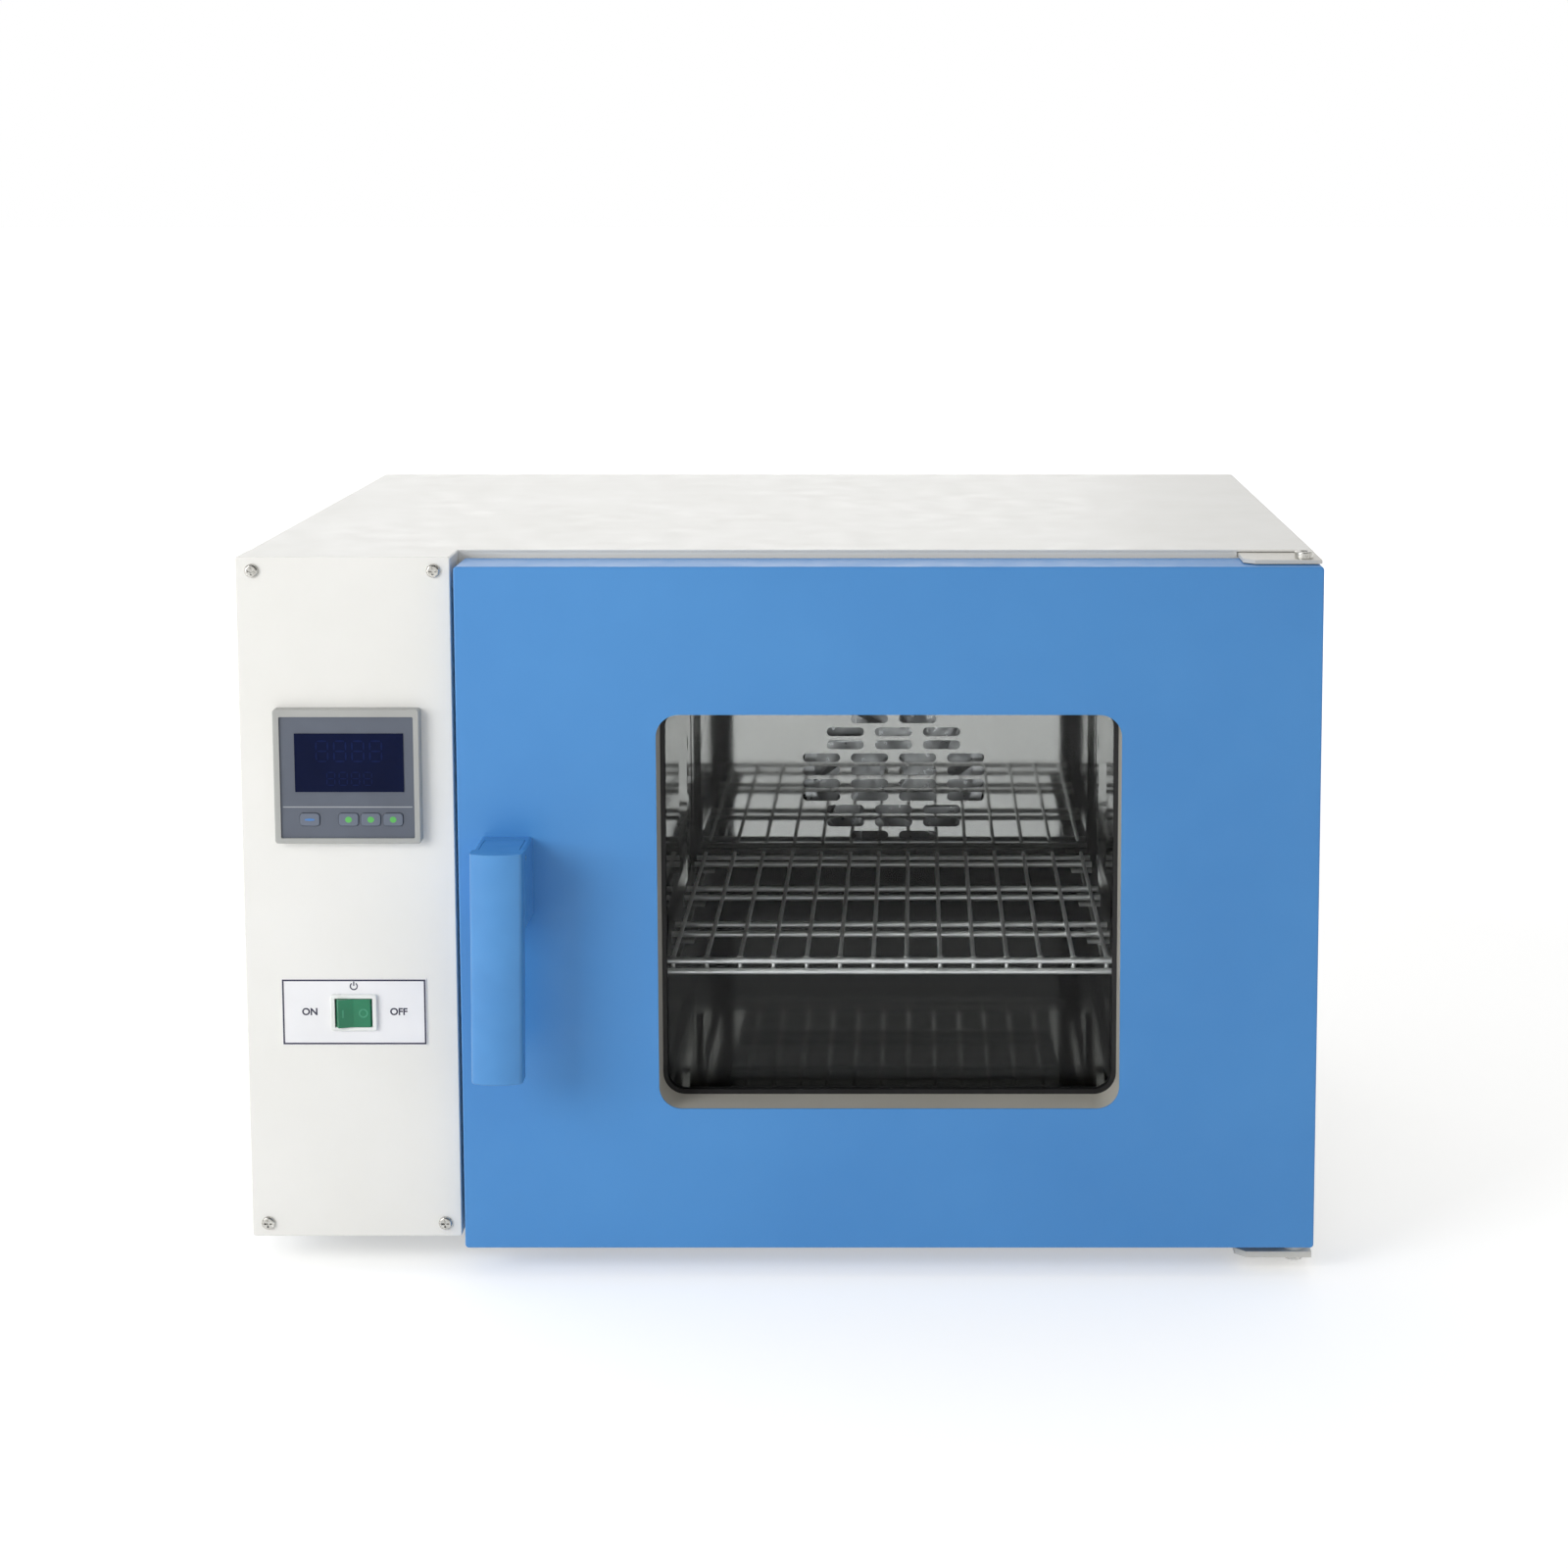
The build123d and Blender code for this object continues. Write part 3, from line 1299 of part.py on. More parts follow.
# Exhaust duct from the chamber's back to the rear cover
with BuildPart() as vent_duct:
    with BuildSketch(upright(cover_y)):
        with Locations((vent_x, vent_z)):
            Circle(vent_duct_r)
            Circle(vent_duct_r - vent_duct_wall, mode=Mode.SUBTRACT)
    extrude(amount=cover_y - liner_back_y)
save(vent_duct, "vent_duct")

# Vent plate and the shutter that turns on it: both have the same ring of holes, in line when open
shutter_y = rear_y + vent_plate_t + run_gap
with BuildPart() as vent_plate:
    with BuildSketch(upright(rear_y)):
        with Locations((vent_x, vent_z)):
            Circle(vent_plate_r)
            Circle(vent_spindle_r + pin_fit, mode=Mode.SUBTRACT)
            with PolarLocations(vent_hole_ring_r, vent_hole_count):
                Circle(vent_hole_r, mode=Mode.SUBTRACT)
    extrude(amount=-vent_plate_t)
save(vent_plate, "vent_plate")

with BuildPart() as vent_shutter:
    with BuildSketch(upright(shutter_y)):
        with Locations((vent_x, vent_z)):
            Circle(vent_shutter_r)
            with PolarLocations(vent_hole_ring_r, vent_hole_count):
                Circle(vent_hole_r, mode=Mode.SUBTRACT)
    extrude(amount=-vent_shutter_t)
    with BuildSketch(upright(shutter_y + vent_shutter_t)):
        with Locations((vent_x, vent_z)):
            Circle(vent_knob_r)
            Rectangle(2 * vent_shutter_r - vent_knob_r, vent_knob_w)
    extrude(amount=-vent_knob_out)
    with BuildSketch(upright(shutter_y)):
        with Locations((vent_x, vent_z)):
            Circle(vent_spindle_r)
    extrude(amount=shutter_y - rear_y + run_gap)
    with BuildSketch(upright(rear_y - run_gap)):
        with Locations((vent_x, vent_z)):
            Circle(vent_knob_r)
    extrude(amount=vent_plate_t)
save(vent_shutter, "vent_shutter")

# Cord gland in the rear cover and its nut inside
with BuildPart() as cord_gland:
    with BuildSketch(upright(rear_y)):
        with Locations((gland_x, gland_z)):
            RegularPolygon(gland_hex / 2, 6, major_radius=False)
    extrude(amount=-gland_flange_t)
    with BuildSketch(upright(rear_y + gland_flange_t)):
        with Locations((gland_x, gland_z)):
            Circle(gland_hex / 2 - seam)
    extrude(amount=-(rear_reach - gland_flange_t), taper=gland_taper)
    with BuildSketch(upright(rear_y)):
        with Locations((gland_x, gland_z)):
            Circle(gland_thread_r)
    extrude(amount=gland_in)
    with BuildSketch(upright(rear_y + rear_reach)):
        with Locations((gland_x, gland_z)):
            Circle(gland_bore_r)
    extrude(amount=rear_reach + gland_in, mode=Mode.SUBTRACT)
save(cord_gland, "cord_gland")

with BuildPart() as gland_nut:
    with BuildSketch(upright(cover_y)):
        with Locations((gland_x, gland_z)):
            RegularPolygon(gland_hex / 2, 6, major_radius=False)
            Circle(gland_thread_r, mode=Mode.SUBTRACT)
    extrude(amount=gland_nut_t)
save(gland_nut, "gland_nut")

# Screws round the rear cover
with BuildPart() as rear_screws:
    with BuildSketch(upright(rear_y)):
        with Locations((0, base_z + cover_h / 2)):
            with GridLocations(
                (inside_w - 2 * rear_screw_inset) / 2, cover_h - 2 * rear_screw_inset, 3, 2
            ):
                Circle(rear_screw_r)
    extrude(amount=-rear_screw_h)
    fillet(rear_screws.faces().group_by(Axis.Y)[-1].edges(), rear_screw_h / 2)
save(rear_screws, "rear_screws")

# Solid-state relay with a finned back on the divider, and the terminal block on the base pan
relay_x = divider_x - sheet
relay_z = base_z + relay_up
relay_y = fascia_y + relay_setback
fin_pitch = relay_h / relay_fin_count
with BuildPart() as heater_relay:
    with BuildSketch(Plane.YZ.offset(relay_x)):
        with Locations((relay_y, relay_z)):
            Rectangle(relay_w, relay_h)
    extrude(amount=-relay_d)
    with BuildSketch(Plane.YZ.offset(relay_x - relay_fin_base)):
        with Locations((relay_y, relay_z)):
            with GridLocations(relay_w, fin_pitch, 1, relay_fin_count):
                Rectangle(relay_w, fin_pitch / 2)
    extrude(amount=relay_fin_base + relay_fin_h - relay_d, mode=Mode.SUBTRACT)
save(heater_relay, "heater_relay")

with BuildPart() as terminal_block:
    with BuildSketch(Plane.XY.offset(base_z + sheet)):
        with Locations((panel_x, fascia_y + terminal_block_setback)):
            Rectangle(terminal_block_l, terminal_block_w)
    extrude(amount=terminal_block_h)
    with BuildSketch(Plane.XY.offset(base_z + sheet + terminal_block_h)):
        with Locations((panel_x, fascia_y + terminal_block_setback)):
            with GridLocations(terminal_block_l / terminal_ways, terminal_block_w, terminal_ways, 1):
                Rectangle(terminal_slot_w, terminal_block_w)
    extrude(amount=-terminal_slot_h, mode=Mode.SUBTRACT)
save(terminal_block, "terminal_block")
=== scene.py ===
import json
import math

import bmesh
import bpy
from mathutils import Matrix, Vector
from mathutils.bvhtree import BVHTree


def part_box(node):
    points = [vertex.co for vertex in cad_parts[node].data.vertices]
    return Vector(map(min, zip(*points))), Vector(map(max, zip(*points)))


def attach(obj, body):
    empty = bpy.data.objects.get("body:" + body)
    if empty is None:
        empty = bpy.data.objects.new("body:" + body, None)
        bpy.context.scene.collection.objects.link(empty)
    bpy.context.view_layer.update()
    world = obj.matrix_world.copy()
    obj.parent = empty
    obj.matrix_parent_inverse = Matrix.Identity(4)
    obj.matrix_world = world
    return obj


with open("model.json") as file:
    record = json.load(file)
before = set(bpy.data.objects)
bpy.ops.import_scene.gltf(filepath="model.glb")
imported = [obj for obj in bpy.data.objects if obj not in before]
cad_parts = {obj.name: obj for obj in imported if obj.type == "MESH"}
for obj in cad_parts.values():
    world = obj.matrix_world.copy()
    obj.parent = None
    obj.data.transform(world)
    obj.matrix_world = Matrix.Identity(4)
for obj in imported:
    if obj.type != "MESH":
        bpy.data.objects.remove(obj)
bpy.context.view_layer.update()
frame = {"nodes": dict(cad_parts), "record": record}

nodes = frame["nodes"]
mm = 0.001
print("loaded", len(nodes), "nodes")


def toLinear(hexColour):
    channels = [int(hexColour[i:i + 2], 16) / 255 for i in (1, 3, 5)]
    return [c / 12.92 if c <= 0.04045 else ((c + 0.055) / 1.055) ** 2.4 for c in channels] + [1]


def addNode(tree, kind, settings=None, links=None):
    node = tree.nodes.new(kind)
    for name, value in (settings or {}).items():
        if isinstance(name, str) and hasattr(node, name):
            setattr(node, name, value)
        else:
            node.inputs[name].default_value = value
    for name, source in (links or {}).items():
        tree.links.new(source, node.inputs[name])
    return node


def newMaterial(name):
    # a new material's tree, its shader and the point on the piece in metres
    material = bpy.data.materials.new(name)
    material.use_nodes = True
    tree = material.node_tree
    shader = tree.nodes["Principled BSDF"]
    place = addNode(tree, "ShaderNodeTexCoord").outputs["Object"]
    return material, tree, shader, place


def grain(tree, place, size, detail=2.0, stretch=(1, 1, 1)):
    # noise whose features are about size metres wide, drawn out along the axes in stretch
    mapped = addNode(tree, "ShaderNodeMapping", {"Scale": [1 / (size * s) for s in stretch]},
                     {"Vector": place})
    return addNode(tree, "ShaderNodeTexNoise", {"Scale": 1.0, "Detail": detail},
                   {"Vector": mapped.outputs["Vector"]}).outputs["Fac"]


def between(tree, factor, low, high):
    # carries noise, which keeps to 0.3 to 0.7, over to the range low to high
    return addNode(tree, "ShaderNodeMapRange",
                   {"From Min": 0.3, "From Max": 0.7, "To Min": low, "To Max": high},
                   {"Value": factor}).outputs["Result"]


def blendColour(tree, factor, first, second):
    node = addNode(tree, "ShaderNodeMix", {"data_type": "RGBA", 6: first, 7: second}, {0: factor})
    return node.outputs[2]


def relief(tree, shader, height, depth, strength=1.0):
    node = addNode(tree, "ShaderNodeBump", {"Strength": strength, "Distance": depth},
                   {"Height": height})
    tree.links.new(node.outputs["Normal"], shader.inputs["Normal"])


# Powder coat: baked polyester powder on steel. It flows into a shallow orange peel about 1.5 mm
# across, so highlights break up softly, and it holds a faint haze of dust and handling.
def powderCoat(name, look):
    material, tree, shader, place = newMaterial(name)
    haze = between(tree, grain(tree, place, look["hazeWidth"], 3), 0, 1)
    colour = blendColour(tree, haze, toLinear(look["colour"]), toLinear(look["shade"]))
    tree.links.new(colour, shader.inputs["Base Color"])
    gloss = between(tree, grain(tree, place, 22 * mm, 4), look["roughness"] - 0.05,
                    look["roughness"] + 0.06)
    tree.links.new(gloss, shader.inputs["Roughness"])
    relief(tree, shader, grain(tree, place, look["peel"], 2), look["peelDepth"])
    return material


# Moulded plastic: ABS or nylon from a spark-eroded tool. The fine pits are 0.3 mm and are drawn
# at 0.6 mm, the least that the render shows. Handling polishes it in patches.
def mouldedPlastic(name, look):
    material, tree, shader, place = newMaterial(name)
    cloud = between(tree, grain(tree, place, 35 * mm, 2), 0, 1)
    colour = blendColour(tree, cloud, toLinear(look["colour"]), toLinear(look["shade"]))
    tree.links.new(colour, shader.inputs["Base Color"])
    polish = between(tree, grain(tree, place, 12 * mm, 3), look["roughness"] - 0.04,
                     look["roughness"] + 0.05)
    tree.links.new(polish, shader.inputs["Roughness"])
    shader.inputs["Specular IOR Level"].default_value = look.get("shine", 0.5)
    relief(tree, shader, grain(tree, place, 0.6 * mm, 1), look.get("pitDepth", 0.01 * mm))
    return material


# Bright rolled stainless: 304 sheet with a 2B mill finish. The rolls leave hairlines drawn out
# along the sheet, which smear its reflections one way, and wiping leaves broad dull patches.
def rolledStainless(name, look):
    material, tree, shader, place = newMaterial(name)
    shader.inputs["Metallic"].default_value = 1.0
    lines = grain(tree, place, 0.5 * mm, 3, look["run"])
    wipe = grain(tree, place, 90 * mm, 3)
    colour = blendColour(tree, between(tree, wipe, 0, 1), toLinear(look["colour"]),
                         toLinear(look["shade"]))
    tree.links.new(colour, shader.inputs["Base Color"])
    dull = between(tree, wipe, look["roughness"] * 0.85, look["roughness"] * 1.25)
    tree.links.new(dull, shader.inputs["Roughness"])
    relief(tree, shader, lines, look["lineDepth"])
    return material


# Galvanised sheet: zinc crystals make spangles about 9 mm across, each with its own grey.
def galvanisedSheet(name, look):
    material, tree, shader, place = newMaterial(name)
    shader.inputs["Metallic"].default_value = 1.0
    crystals = addNode(tree, "ShaderNodeTexVoronoi", {"Scale": 1 / (9 * mm), "Randomness": 0.9},
                       {"Vector": place})
    tone = addNode(tree, "ShaderNodeSeparateColor", None, {"Color": crystals.outputs["Color"]})
    colour = blendColour(tree, tone.outputs["Red"], toLinear(look["colour"]), toLinear(look["shade"]))
    tree.links.new(colour, shader.inputs["Base Color"])
    dull = addNode(tree, "ShaderNodeMapRange", {"To Min": 0.3, "To Max": 0.5},
                   {"Value": tone.outputs["Green"]}).outputs["Result"]
    tree.links.new(dull, shader.inputs["Roughness"])
    relief(tree, shader, grain(tree, place, 1.5 * mm, 3), 0.02 * mm)
    return material


# Bright metal: plated, polished or stamped pieces. Fine draw marks and a little tarnish.
def brightMetal(name, look):
    material, tree, shader, place = newMaterial(name)
    shader.inputs["Metallic"].default_value = 1.0
    tarnish = between(tree, grain(tree, place, look["patch"], 4), 0, 1)
    colour = blendColour(tree, tarnish, toLinear(look["colour"]), toLinear(look["shade"]))
    tree.links.new(colour, shader.inputs["Base Color"])
    dull = between(tree, grain(tree, place, look["patch"] / 3, 3), look["roughness"] * 0.7,
                   look["roughness"] * 1.5)
    tree.links.new(dull, shader.inputs["Roughness"])
    relief(tree, shader, grain(tree, place, 0.4 * mm, 2), look.get("markDepth", 0.006 * mm))
    return material


# Rubber and silicone: matt, pressed in a mould, with a dusty bloom that lightens it in patches.
def mouldedRubber(name, look):
    material, tree, shader, place = newMaterial(name)
    bloom = between(tree, grain(tree, place, 18 * mm, 4), 0, 1)
    colour = blendColour(tree, bloom, toLinear(look["colour"]), toLinear(look["shade"]))
    tree.links.new(colour, shader.inputs["Base Color"])
    shader.inputs["Roughness"].default_value = look["roughness"]
    relief(tree, shader, grain(tree, place, 0.8 * mm, 3), 0.03 * mm)
    return material


# Mineral wool: pressed glass fibre, matt and felted, with its fibres lying across the batt.
def mineralWool(name, look):
    material, tree, shader, place = newMaterial(name)
    fibres = grain(tree, place, 1.2 * mm, 5, (6, 1, 6))
    colour = blendColour(tree, between(tree, fibres, 0, 1), toLinear(look["colour"]),
                         toLinear(look["shade"]))
    tree.links.new(colour, shader.inputs["Base Color"])
    shader.inputs["Roughness"].default_value = 0.95
    relief(tree, shader, fibres, 0.8 * mm)
    return material


# Float glass: clear, faintly green, with a few wipe marks that only show in its gloss. Rays from
# the lamps pass it straight, so the chamber behind it is lit. Its IOR is set under the real 1.52,
# because two panes have four faces, and the white studio in them would veil the chamber.
def floatGlass(name, look):
    material, tree, shader, place = newMaterial(name)
    shader.inputs["Base Color"].default_value = toLinear(look["colour"])
    shader.inputs["Transmission Weight"].default_value = 1.0
    shader.inputs["IOR"].default_value = 1.12
    smear = between(tree, grain(tree, place, 60 * mm, 4, (1, 1, 3)), 0.0, look["roughness"])
    tree.links.new(smear, shader.inputs["Roughness"])
    clear = addNode(tree, "ShaderNodeBsdfTransparent", {"Color": toLinear(look["colour"])})
    ray = addNode(tree, "ShaderNodeLightPath")
    both = addNode(tree, "ShaderNodeMixShader", None,
                   {0: ray.outputs["Is Shadow Ray"], 1: shader.outputs["BSDF"],
                    2: clear.outputs["BSDF"]})
    tree.links.new(both.outputs["Shader"], tree.nodes["Material Output"].inputs["Surface"])
    return material


coatWhite = {"colour": "#eeede9", "shade": "#e9e8e3", "hazeWidth": 120 * mm, "roughness": 0.42,
             "peel": 1.6 * mm, "peelDepth": 0.05 * mm}
coatBlue = {"colour": "#4c92d3", "shade": "#468bcd", "hazeWidth": 160 * mm, "roughness": 0.4,
            "peel": 1.6 * mm, "peelDepth": 0.05 * mm}
# The hinge plates take the white powder coat made darker, a painted shade: the same white paint as
# the cabinet, greyed to stand in for shade.
coatHingePaintedShade = dict(coatWhite, colour="#e0ded7", shade="#d6d3ca")
# The window reveal takes the white powder coat made much darker, a painted shade for the recess round
# the glass, which is white paint.
coatRevealPaintedShade = dict(coatWhite, colour="#c4c1b8", shade="#b8b5ab", roughness=0.5)

finishes = {
    "white_powder_coat": powderCoat("whitePowderCoat", coatWhite),
    "blue_powder_coat": powderCoat("bluePowderCoat", coatBlue),
    "hinge_plate_coat": powderCoat("hingePlateCoatPaintedShade", coatHingePaintedShade),
    "reveal_coat": powderCoat("revealCoatPaintedShade", coatRevealPaintedShade),
    "blue_plastic": mouldedPlastic("blueAbs", {"colour": "#4f93d2", "shade": "#498ccb",
                                               "roughness": 0.32}),
    "stainless_sheet": rolledStainless("rolledStainless", {
        "colour": "#a6a6a4", "shade": "#9f9f9d", "roughness": 0.05, "run": (60, 60, 1),
        "lineDepth": 0.0004 * mm}),
    "galvanised_sheet": galvanisedSheet("galvanisedSheet", {"colour": "#a9aeb1",
                                                            "shade": "#85898b"}),
    "shelf_wire": brightMetal("polishedShelfWire", {"colour": "#efefee", "shade": "#e2e2e1",
                                                    "roughness": 0.45, "patch": 20 * mm}),
    "bright_steel": brightMetal("zincPlatedSteel", {"colour": "#d2d1cc", "shade": "#aeaca6",
                                                    "roughness": 0.25, "patch": 4 * mm}),
    "heater_sheath": brightMetal("heaterSheath", {"colour": "#6e655c", "shade": "#463d38",
                                                  "roughness": 0.45, "patch": 14 * mm}),
    "fan_aluminium": brightMetal("stampedAluminium", {"colour": "#d3d4d5", "shade": "#bcbec0",
                                                      "roughness": 0.33, "patch": 16 * mm}),
    "motor_enamel": powderCoat("blackMotorEnamel", dict(coatWhite, colour="#26282a",
                                                        shade="#1d1f20", roughness=0.35)),
    "mineral_wool": mineralWool("mineralWool", {"colour": "#cfc49a", "shade": "#a99d72"}),
    "window_glass": floatGlass("floatGlass", {"colour": "#fafbfb", "roughness": 0.008}),
    "black_silicone": mouldedRubber("blackSilicone", {"colour": "#1a1a1b", "shade": "#232325",
                                                      "roughness": 0.55}),
    "white_silicone": mouldedRubber("whiteSilicone", {"colour": "#dcdad3", "shade": "#cfccc3",
                                                      "roughness": 0.5}),
    "black_rubber": mouldedRubber("blackRubber", {"colour": "#1d1d1d", "shade": "#2a2a2a",
                                                  "roughness": 0.7}),
    "white_nylon": mouldedPlastic("whiteNylon", {"colour": "#e6e4dc", "shade": "#dedbd2",
                                                 "roughness": 0.45}),
    "grey_bezel": mouldedPlastic("greyAbsBezel", {"colour": "#adaeab", "shade": "#a6a7a4",
                                                  "roughness": 0.45}),
    "slate_face": mouldedPlastic("slateFaceFilm", {"colour": "#5c6370", "shade": "#565c68",
                                                   "roughness": 0.5}),
    "display": mouldedPlastic("displayLens", {"colour": "#0e1738", "shade": "#0b1330",
                                              "roughness": 0.12, "pitDepth": 0,
                                              "shine": 0.05}),
    "grey_key": mouldedPlastic("slateKeyCap", {"colour": "#687080", "shade": "#626a78",
                                               "roughness": 0.45}),
    "plate_white": mouldedPlastic("whitePlateFilm", {"colour": "#f0f0f2", "shade": "#ebebed",
                                                     "roughness": 0.35}),
    "white_plastic": mouldedPlastic("whiteAbs", {"colour": "#eef0ee", "shade": "#e6e8e5",
                                                 "roughness": 0.3}),
    "green_rocker": mouldedPlastic("greenPolycarbonate", {"colour": "#0e7d55", "shade": "#0b6e4a",
                                                          "roughness": 0.18}),
    "black_nylon": mouldedPlastic("blackNylon", {"colour": "#1c1c1e", "shade": "#252527",
                                                 "roughness": 0.45}),
    "relay_plastic": mouldedPlastic("blackRelayCase", {"colour": "#202022", "shade": "#29292b",
                                                       "roughness": 0.4}),
}
slotOf = {part["node"]: part["material_slot"] for part in frame["record"]["subparts"]}
for name, node in nodes.items():
    node.data.materials.clear()
    node.data.materials.append(finishes[slotOf[name]])
print("finished", len(finishes), "materials")


def plainPiece(name, shape, material, body):
    # a bmesh becomes a piece in place, with its faces outwards
    bmesh.ops.recalc_face_normals(shape, faces=shape.faces[:])
    mesh = bpy.data.meshes.new(name)
    shape.to_mesh(mesh)
    shape.free()
    mesh.materials.append(material)
    piece = bpy.data.objects.new(name, mesh)
    bpy.context.scene.collection.objects.link(piece)
    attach(piece, body)
    return piece


def printOn(name, shape, carrier, ink, body, thickness=0.08 * mm):
    # lays a flat mark on the front of the piece that carries it and gives it the ink's thickness,
    # with each corner brought back along the view from a metre in front
    skin = BVHTree.FromObject(nodes[carrier], bpy.context.evaluated_depsgraph_get())
    for corner in shape.verts:
        hit = skin.ray_cast(Vector((corner.co.x, -1.0, corner.co.z)), Vector((0, 1, 0)))[0]
        corner.co.y = hit.y
    under = shape.faces[:]
    raised = bmesh.ops.extrude_face_region(shape, geom=under)["geom"]
    tops = [part for part in raised if isinstance(part, bmesh.types.BMVert)]
    bmesh.ops.translate(shape, verts=tops, vec=(0, -thickness, 0))
    return plainPiece(name, shape, ink, body)


def addPolygon(shape, sides, centre, size, turn=0.0):
    # a flat regular polygon that faces the front, stretched to size
    place = (Matrix.Translation((centre[0], 0, centre[1])) @ Matrix.Rotation(math.radians(90), 4, "X")
             @ Matrix.Diagonal((size[0] / 2, size[1] / 2, 1, 1)) @ Matrix.Rotation(turn, 4, "Z"))
    bmesh.ops.create_circle(shape, cap_ends=True, segments=sides, radius=1.0, matrix=place)


def addOblong(shape, centre, size):
    addPolygon(shape, 4, centre, [side * math.sqrt(2) for side in size], math.radians(45))


def addRing(shape, centre, radius, width, opening=0.0):
    # a flat ring, or an arc with its opening at the top, swept from one short edge
    start = math.radians(90) + opening / 2
    ends = [shape.verts.new((centre[0] + r * math.cos(start), 0, centre[1] + r * math.sin(start)))
            for r in (radius - width / 2, radius + width / 2)]
    edge = shape.edges.new(ends)
    bmesh.ops.spin(shape, geom=[edge] + ends, angle=-(2 * math.pi - opening), steps=28,
                   axis=(0, 1, 0), cent=(centre[0], 0, centre[1]), use_merge=opening == 0)


def addWord(shape, words, centre, height):
    letters = bpy.data.curves.new("letters", "FONT")
    letters.body = words
    letters.size = height / 0.7
    letters.offset = height * 0.04  # a bold printed stroke
    letters.align_x, letters.align_y = "CENTER", "CENTER"
    holder = bpy.data.objects.new("letters", letters)
    bpy.context.scene.collection.objects.link(holder)
    bpy.context.view_layer.update()
    mesh = bpy.data.meshes.new_from_object(holder.evaluated_get(
        bpy.context.evaluated_depsgraph_get()))
    mesh.transform(Matrix.Translation((centre[0], 0, centre[1]))
                   @ Matrix.Rotation(math.radians(90), 4, "X"))
    shape.from_mesh(mesh)
    bpy.data.objects.remove(holder)


inks = {
    "paleInk": mouldedPlastic("paleInk", {"colour": "#a9acb0", "shade": "#9da1a6",
                                          "roughness": 0.5}),
    "greenInk": mouldedPlastic("greenInk", {"colour": "#62bd5f", "shade": "#58b155",
                                            "roughness": 0.45}),
    "blueInk": mouldedPlastic("blueInk", {"colour": "#4c83c4", "shade": "#4379b8",
                                          "roughness": 0.45}),
    "navyInk": mouldedPlastic("navyInk", {"colour": "#2b2a45", "shade": "#26253d",
                                          "roughness": 0.5}),
    "unlitSegment": mouldedPlastic("unlitSegment", {"colour": "#131f4a", "shade": "#101a40",
                                                    "roughness": 0.2, "shine": 0.05}),
    "mouldedMark": mouldedPlastic("mouldedMark", {"colour": "#3f9a76", "shade": "#368d6a",
                                                  "roughness": 0.25}),
}


def frontCentre(node):
    # the middle of a node as seen from the front, across and up
    low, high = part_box(node)
    return (low[0] + high[0]) / 2, (low[2] + high[2]) / 2


# Controller: a divider line across its face, then a mark on each key and the unlit digits
controllerMarks = {
    "dividerDrop": 65.2 * mm,
    "dividerWidth": 0.7 * mm,
    "dividerInset": 1.5 * mm,
}
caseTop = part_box("controller_case")[1][2]
faceLow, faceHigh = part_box("controller_face")
divider = bmesh.new()
addOblong(divider, ((faceLow[0] + faceHigh[0]) / 2, caseTop - controllerMarks["dividerDrop"]),
          (faceHigh[0] - faceLow[0] - 2 * controllerMarks["dividerInset"],
           controllerMarks["dividerWidth"]))
printOn("controller_divider", divider, "controller_face", inks["paleInk"], "cabinet")

keyMarks = {
    "set_key": ("key_set", 6, (7.4 * mm, 1.7 * mm), "blueInk"),
    "shift_key": ("key_shift", 16, (4.4 * mm, 4.0 * mm), "greenInk"),
    "down_key": ("key_down", 16, (4.4 * mm, 4.0 * mm), "greenInk"),
    "up_key": ("key_up", 16, (4.4 * mm, 4.0 * mm), "greenInk"),
}
for body, (cap, sides, size, ink) in keyMarks.items():
    mark = bmesh.new()
    addPolygon(mark, sides, frontCentre(cap), size)
    printOn(cap + "_mark", mark, cap, inks[ink], body)


def addDigit(shape, left, bottom, size, stroke):
    # seven bars with pointed ends and a little room between them
    width, height = size
    room = stroke * 0.6
    for level in range(3):
        addPolygon(shape, 6, (left + width / 2, bottom + level * height / 2), (width - room, stroke))
    for side in (left, left + width):
        for level in (0.25, 0.75):
            addPolygon(shape, 6, (side, bottom + level * height), (stroke, height / 2 - room),
                       math.radians(30))


segments = {
    "count": 4,
    "rows": [{"size": (7.6 * mm, 13.5 * mm), "drop": 0.44},
             {"size": (5.2 * mm, 8.6 * mm), "drop": 0.86}],
    "sink": 0.1,  # in digit heights
    "spread": 1.55,  # from one digit to the next, in digit widths
    "stroke": 1.3 / 7.6,  # in digit widths
    "thickness": 0.03 * mm,
}
lensLow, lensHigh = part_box("display_lens")
lensMiddle = (lensLow[0] + lensHigh[0]) / 2
digits = bmesh.new()
for row in segments["rows"]:
    width, height = row["size"]
    step = width * segments["spread"]
    first = lensMiddle - step * (segments["count"] - 1) / 2 - width / 2
    bottom = lensHigh[2] - row["drop"] * (lensHigh[2] - lensLow[2]) - height * segments["sink"]
    for i in range(segments["count"]):
        addDigit(digits, first + i * step, bottom, row["size"], width * segments["stroke"])
printOn("display_segments", digits, "display_lens", inks["unlitSegment"], "cabinet",
        segments["thickness"])

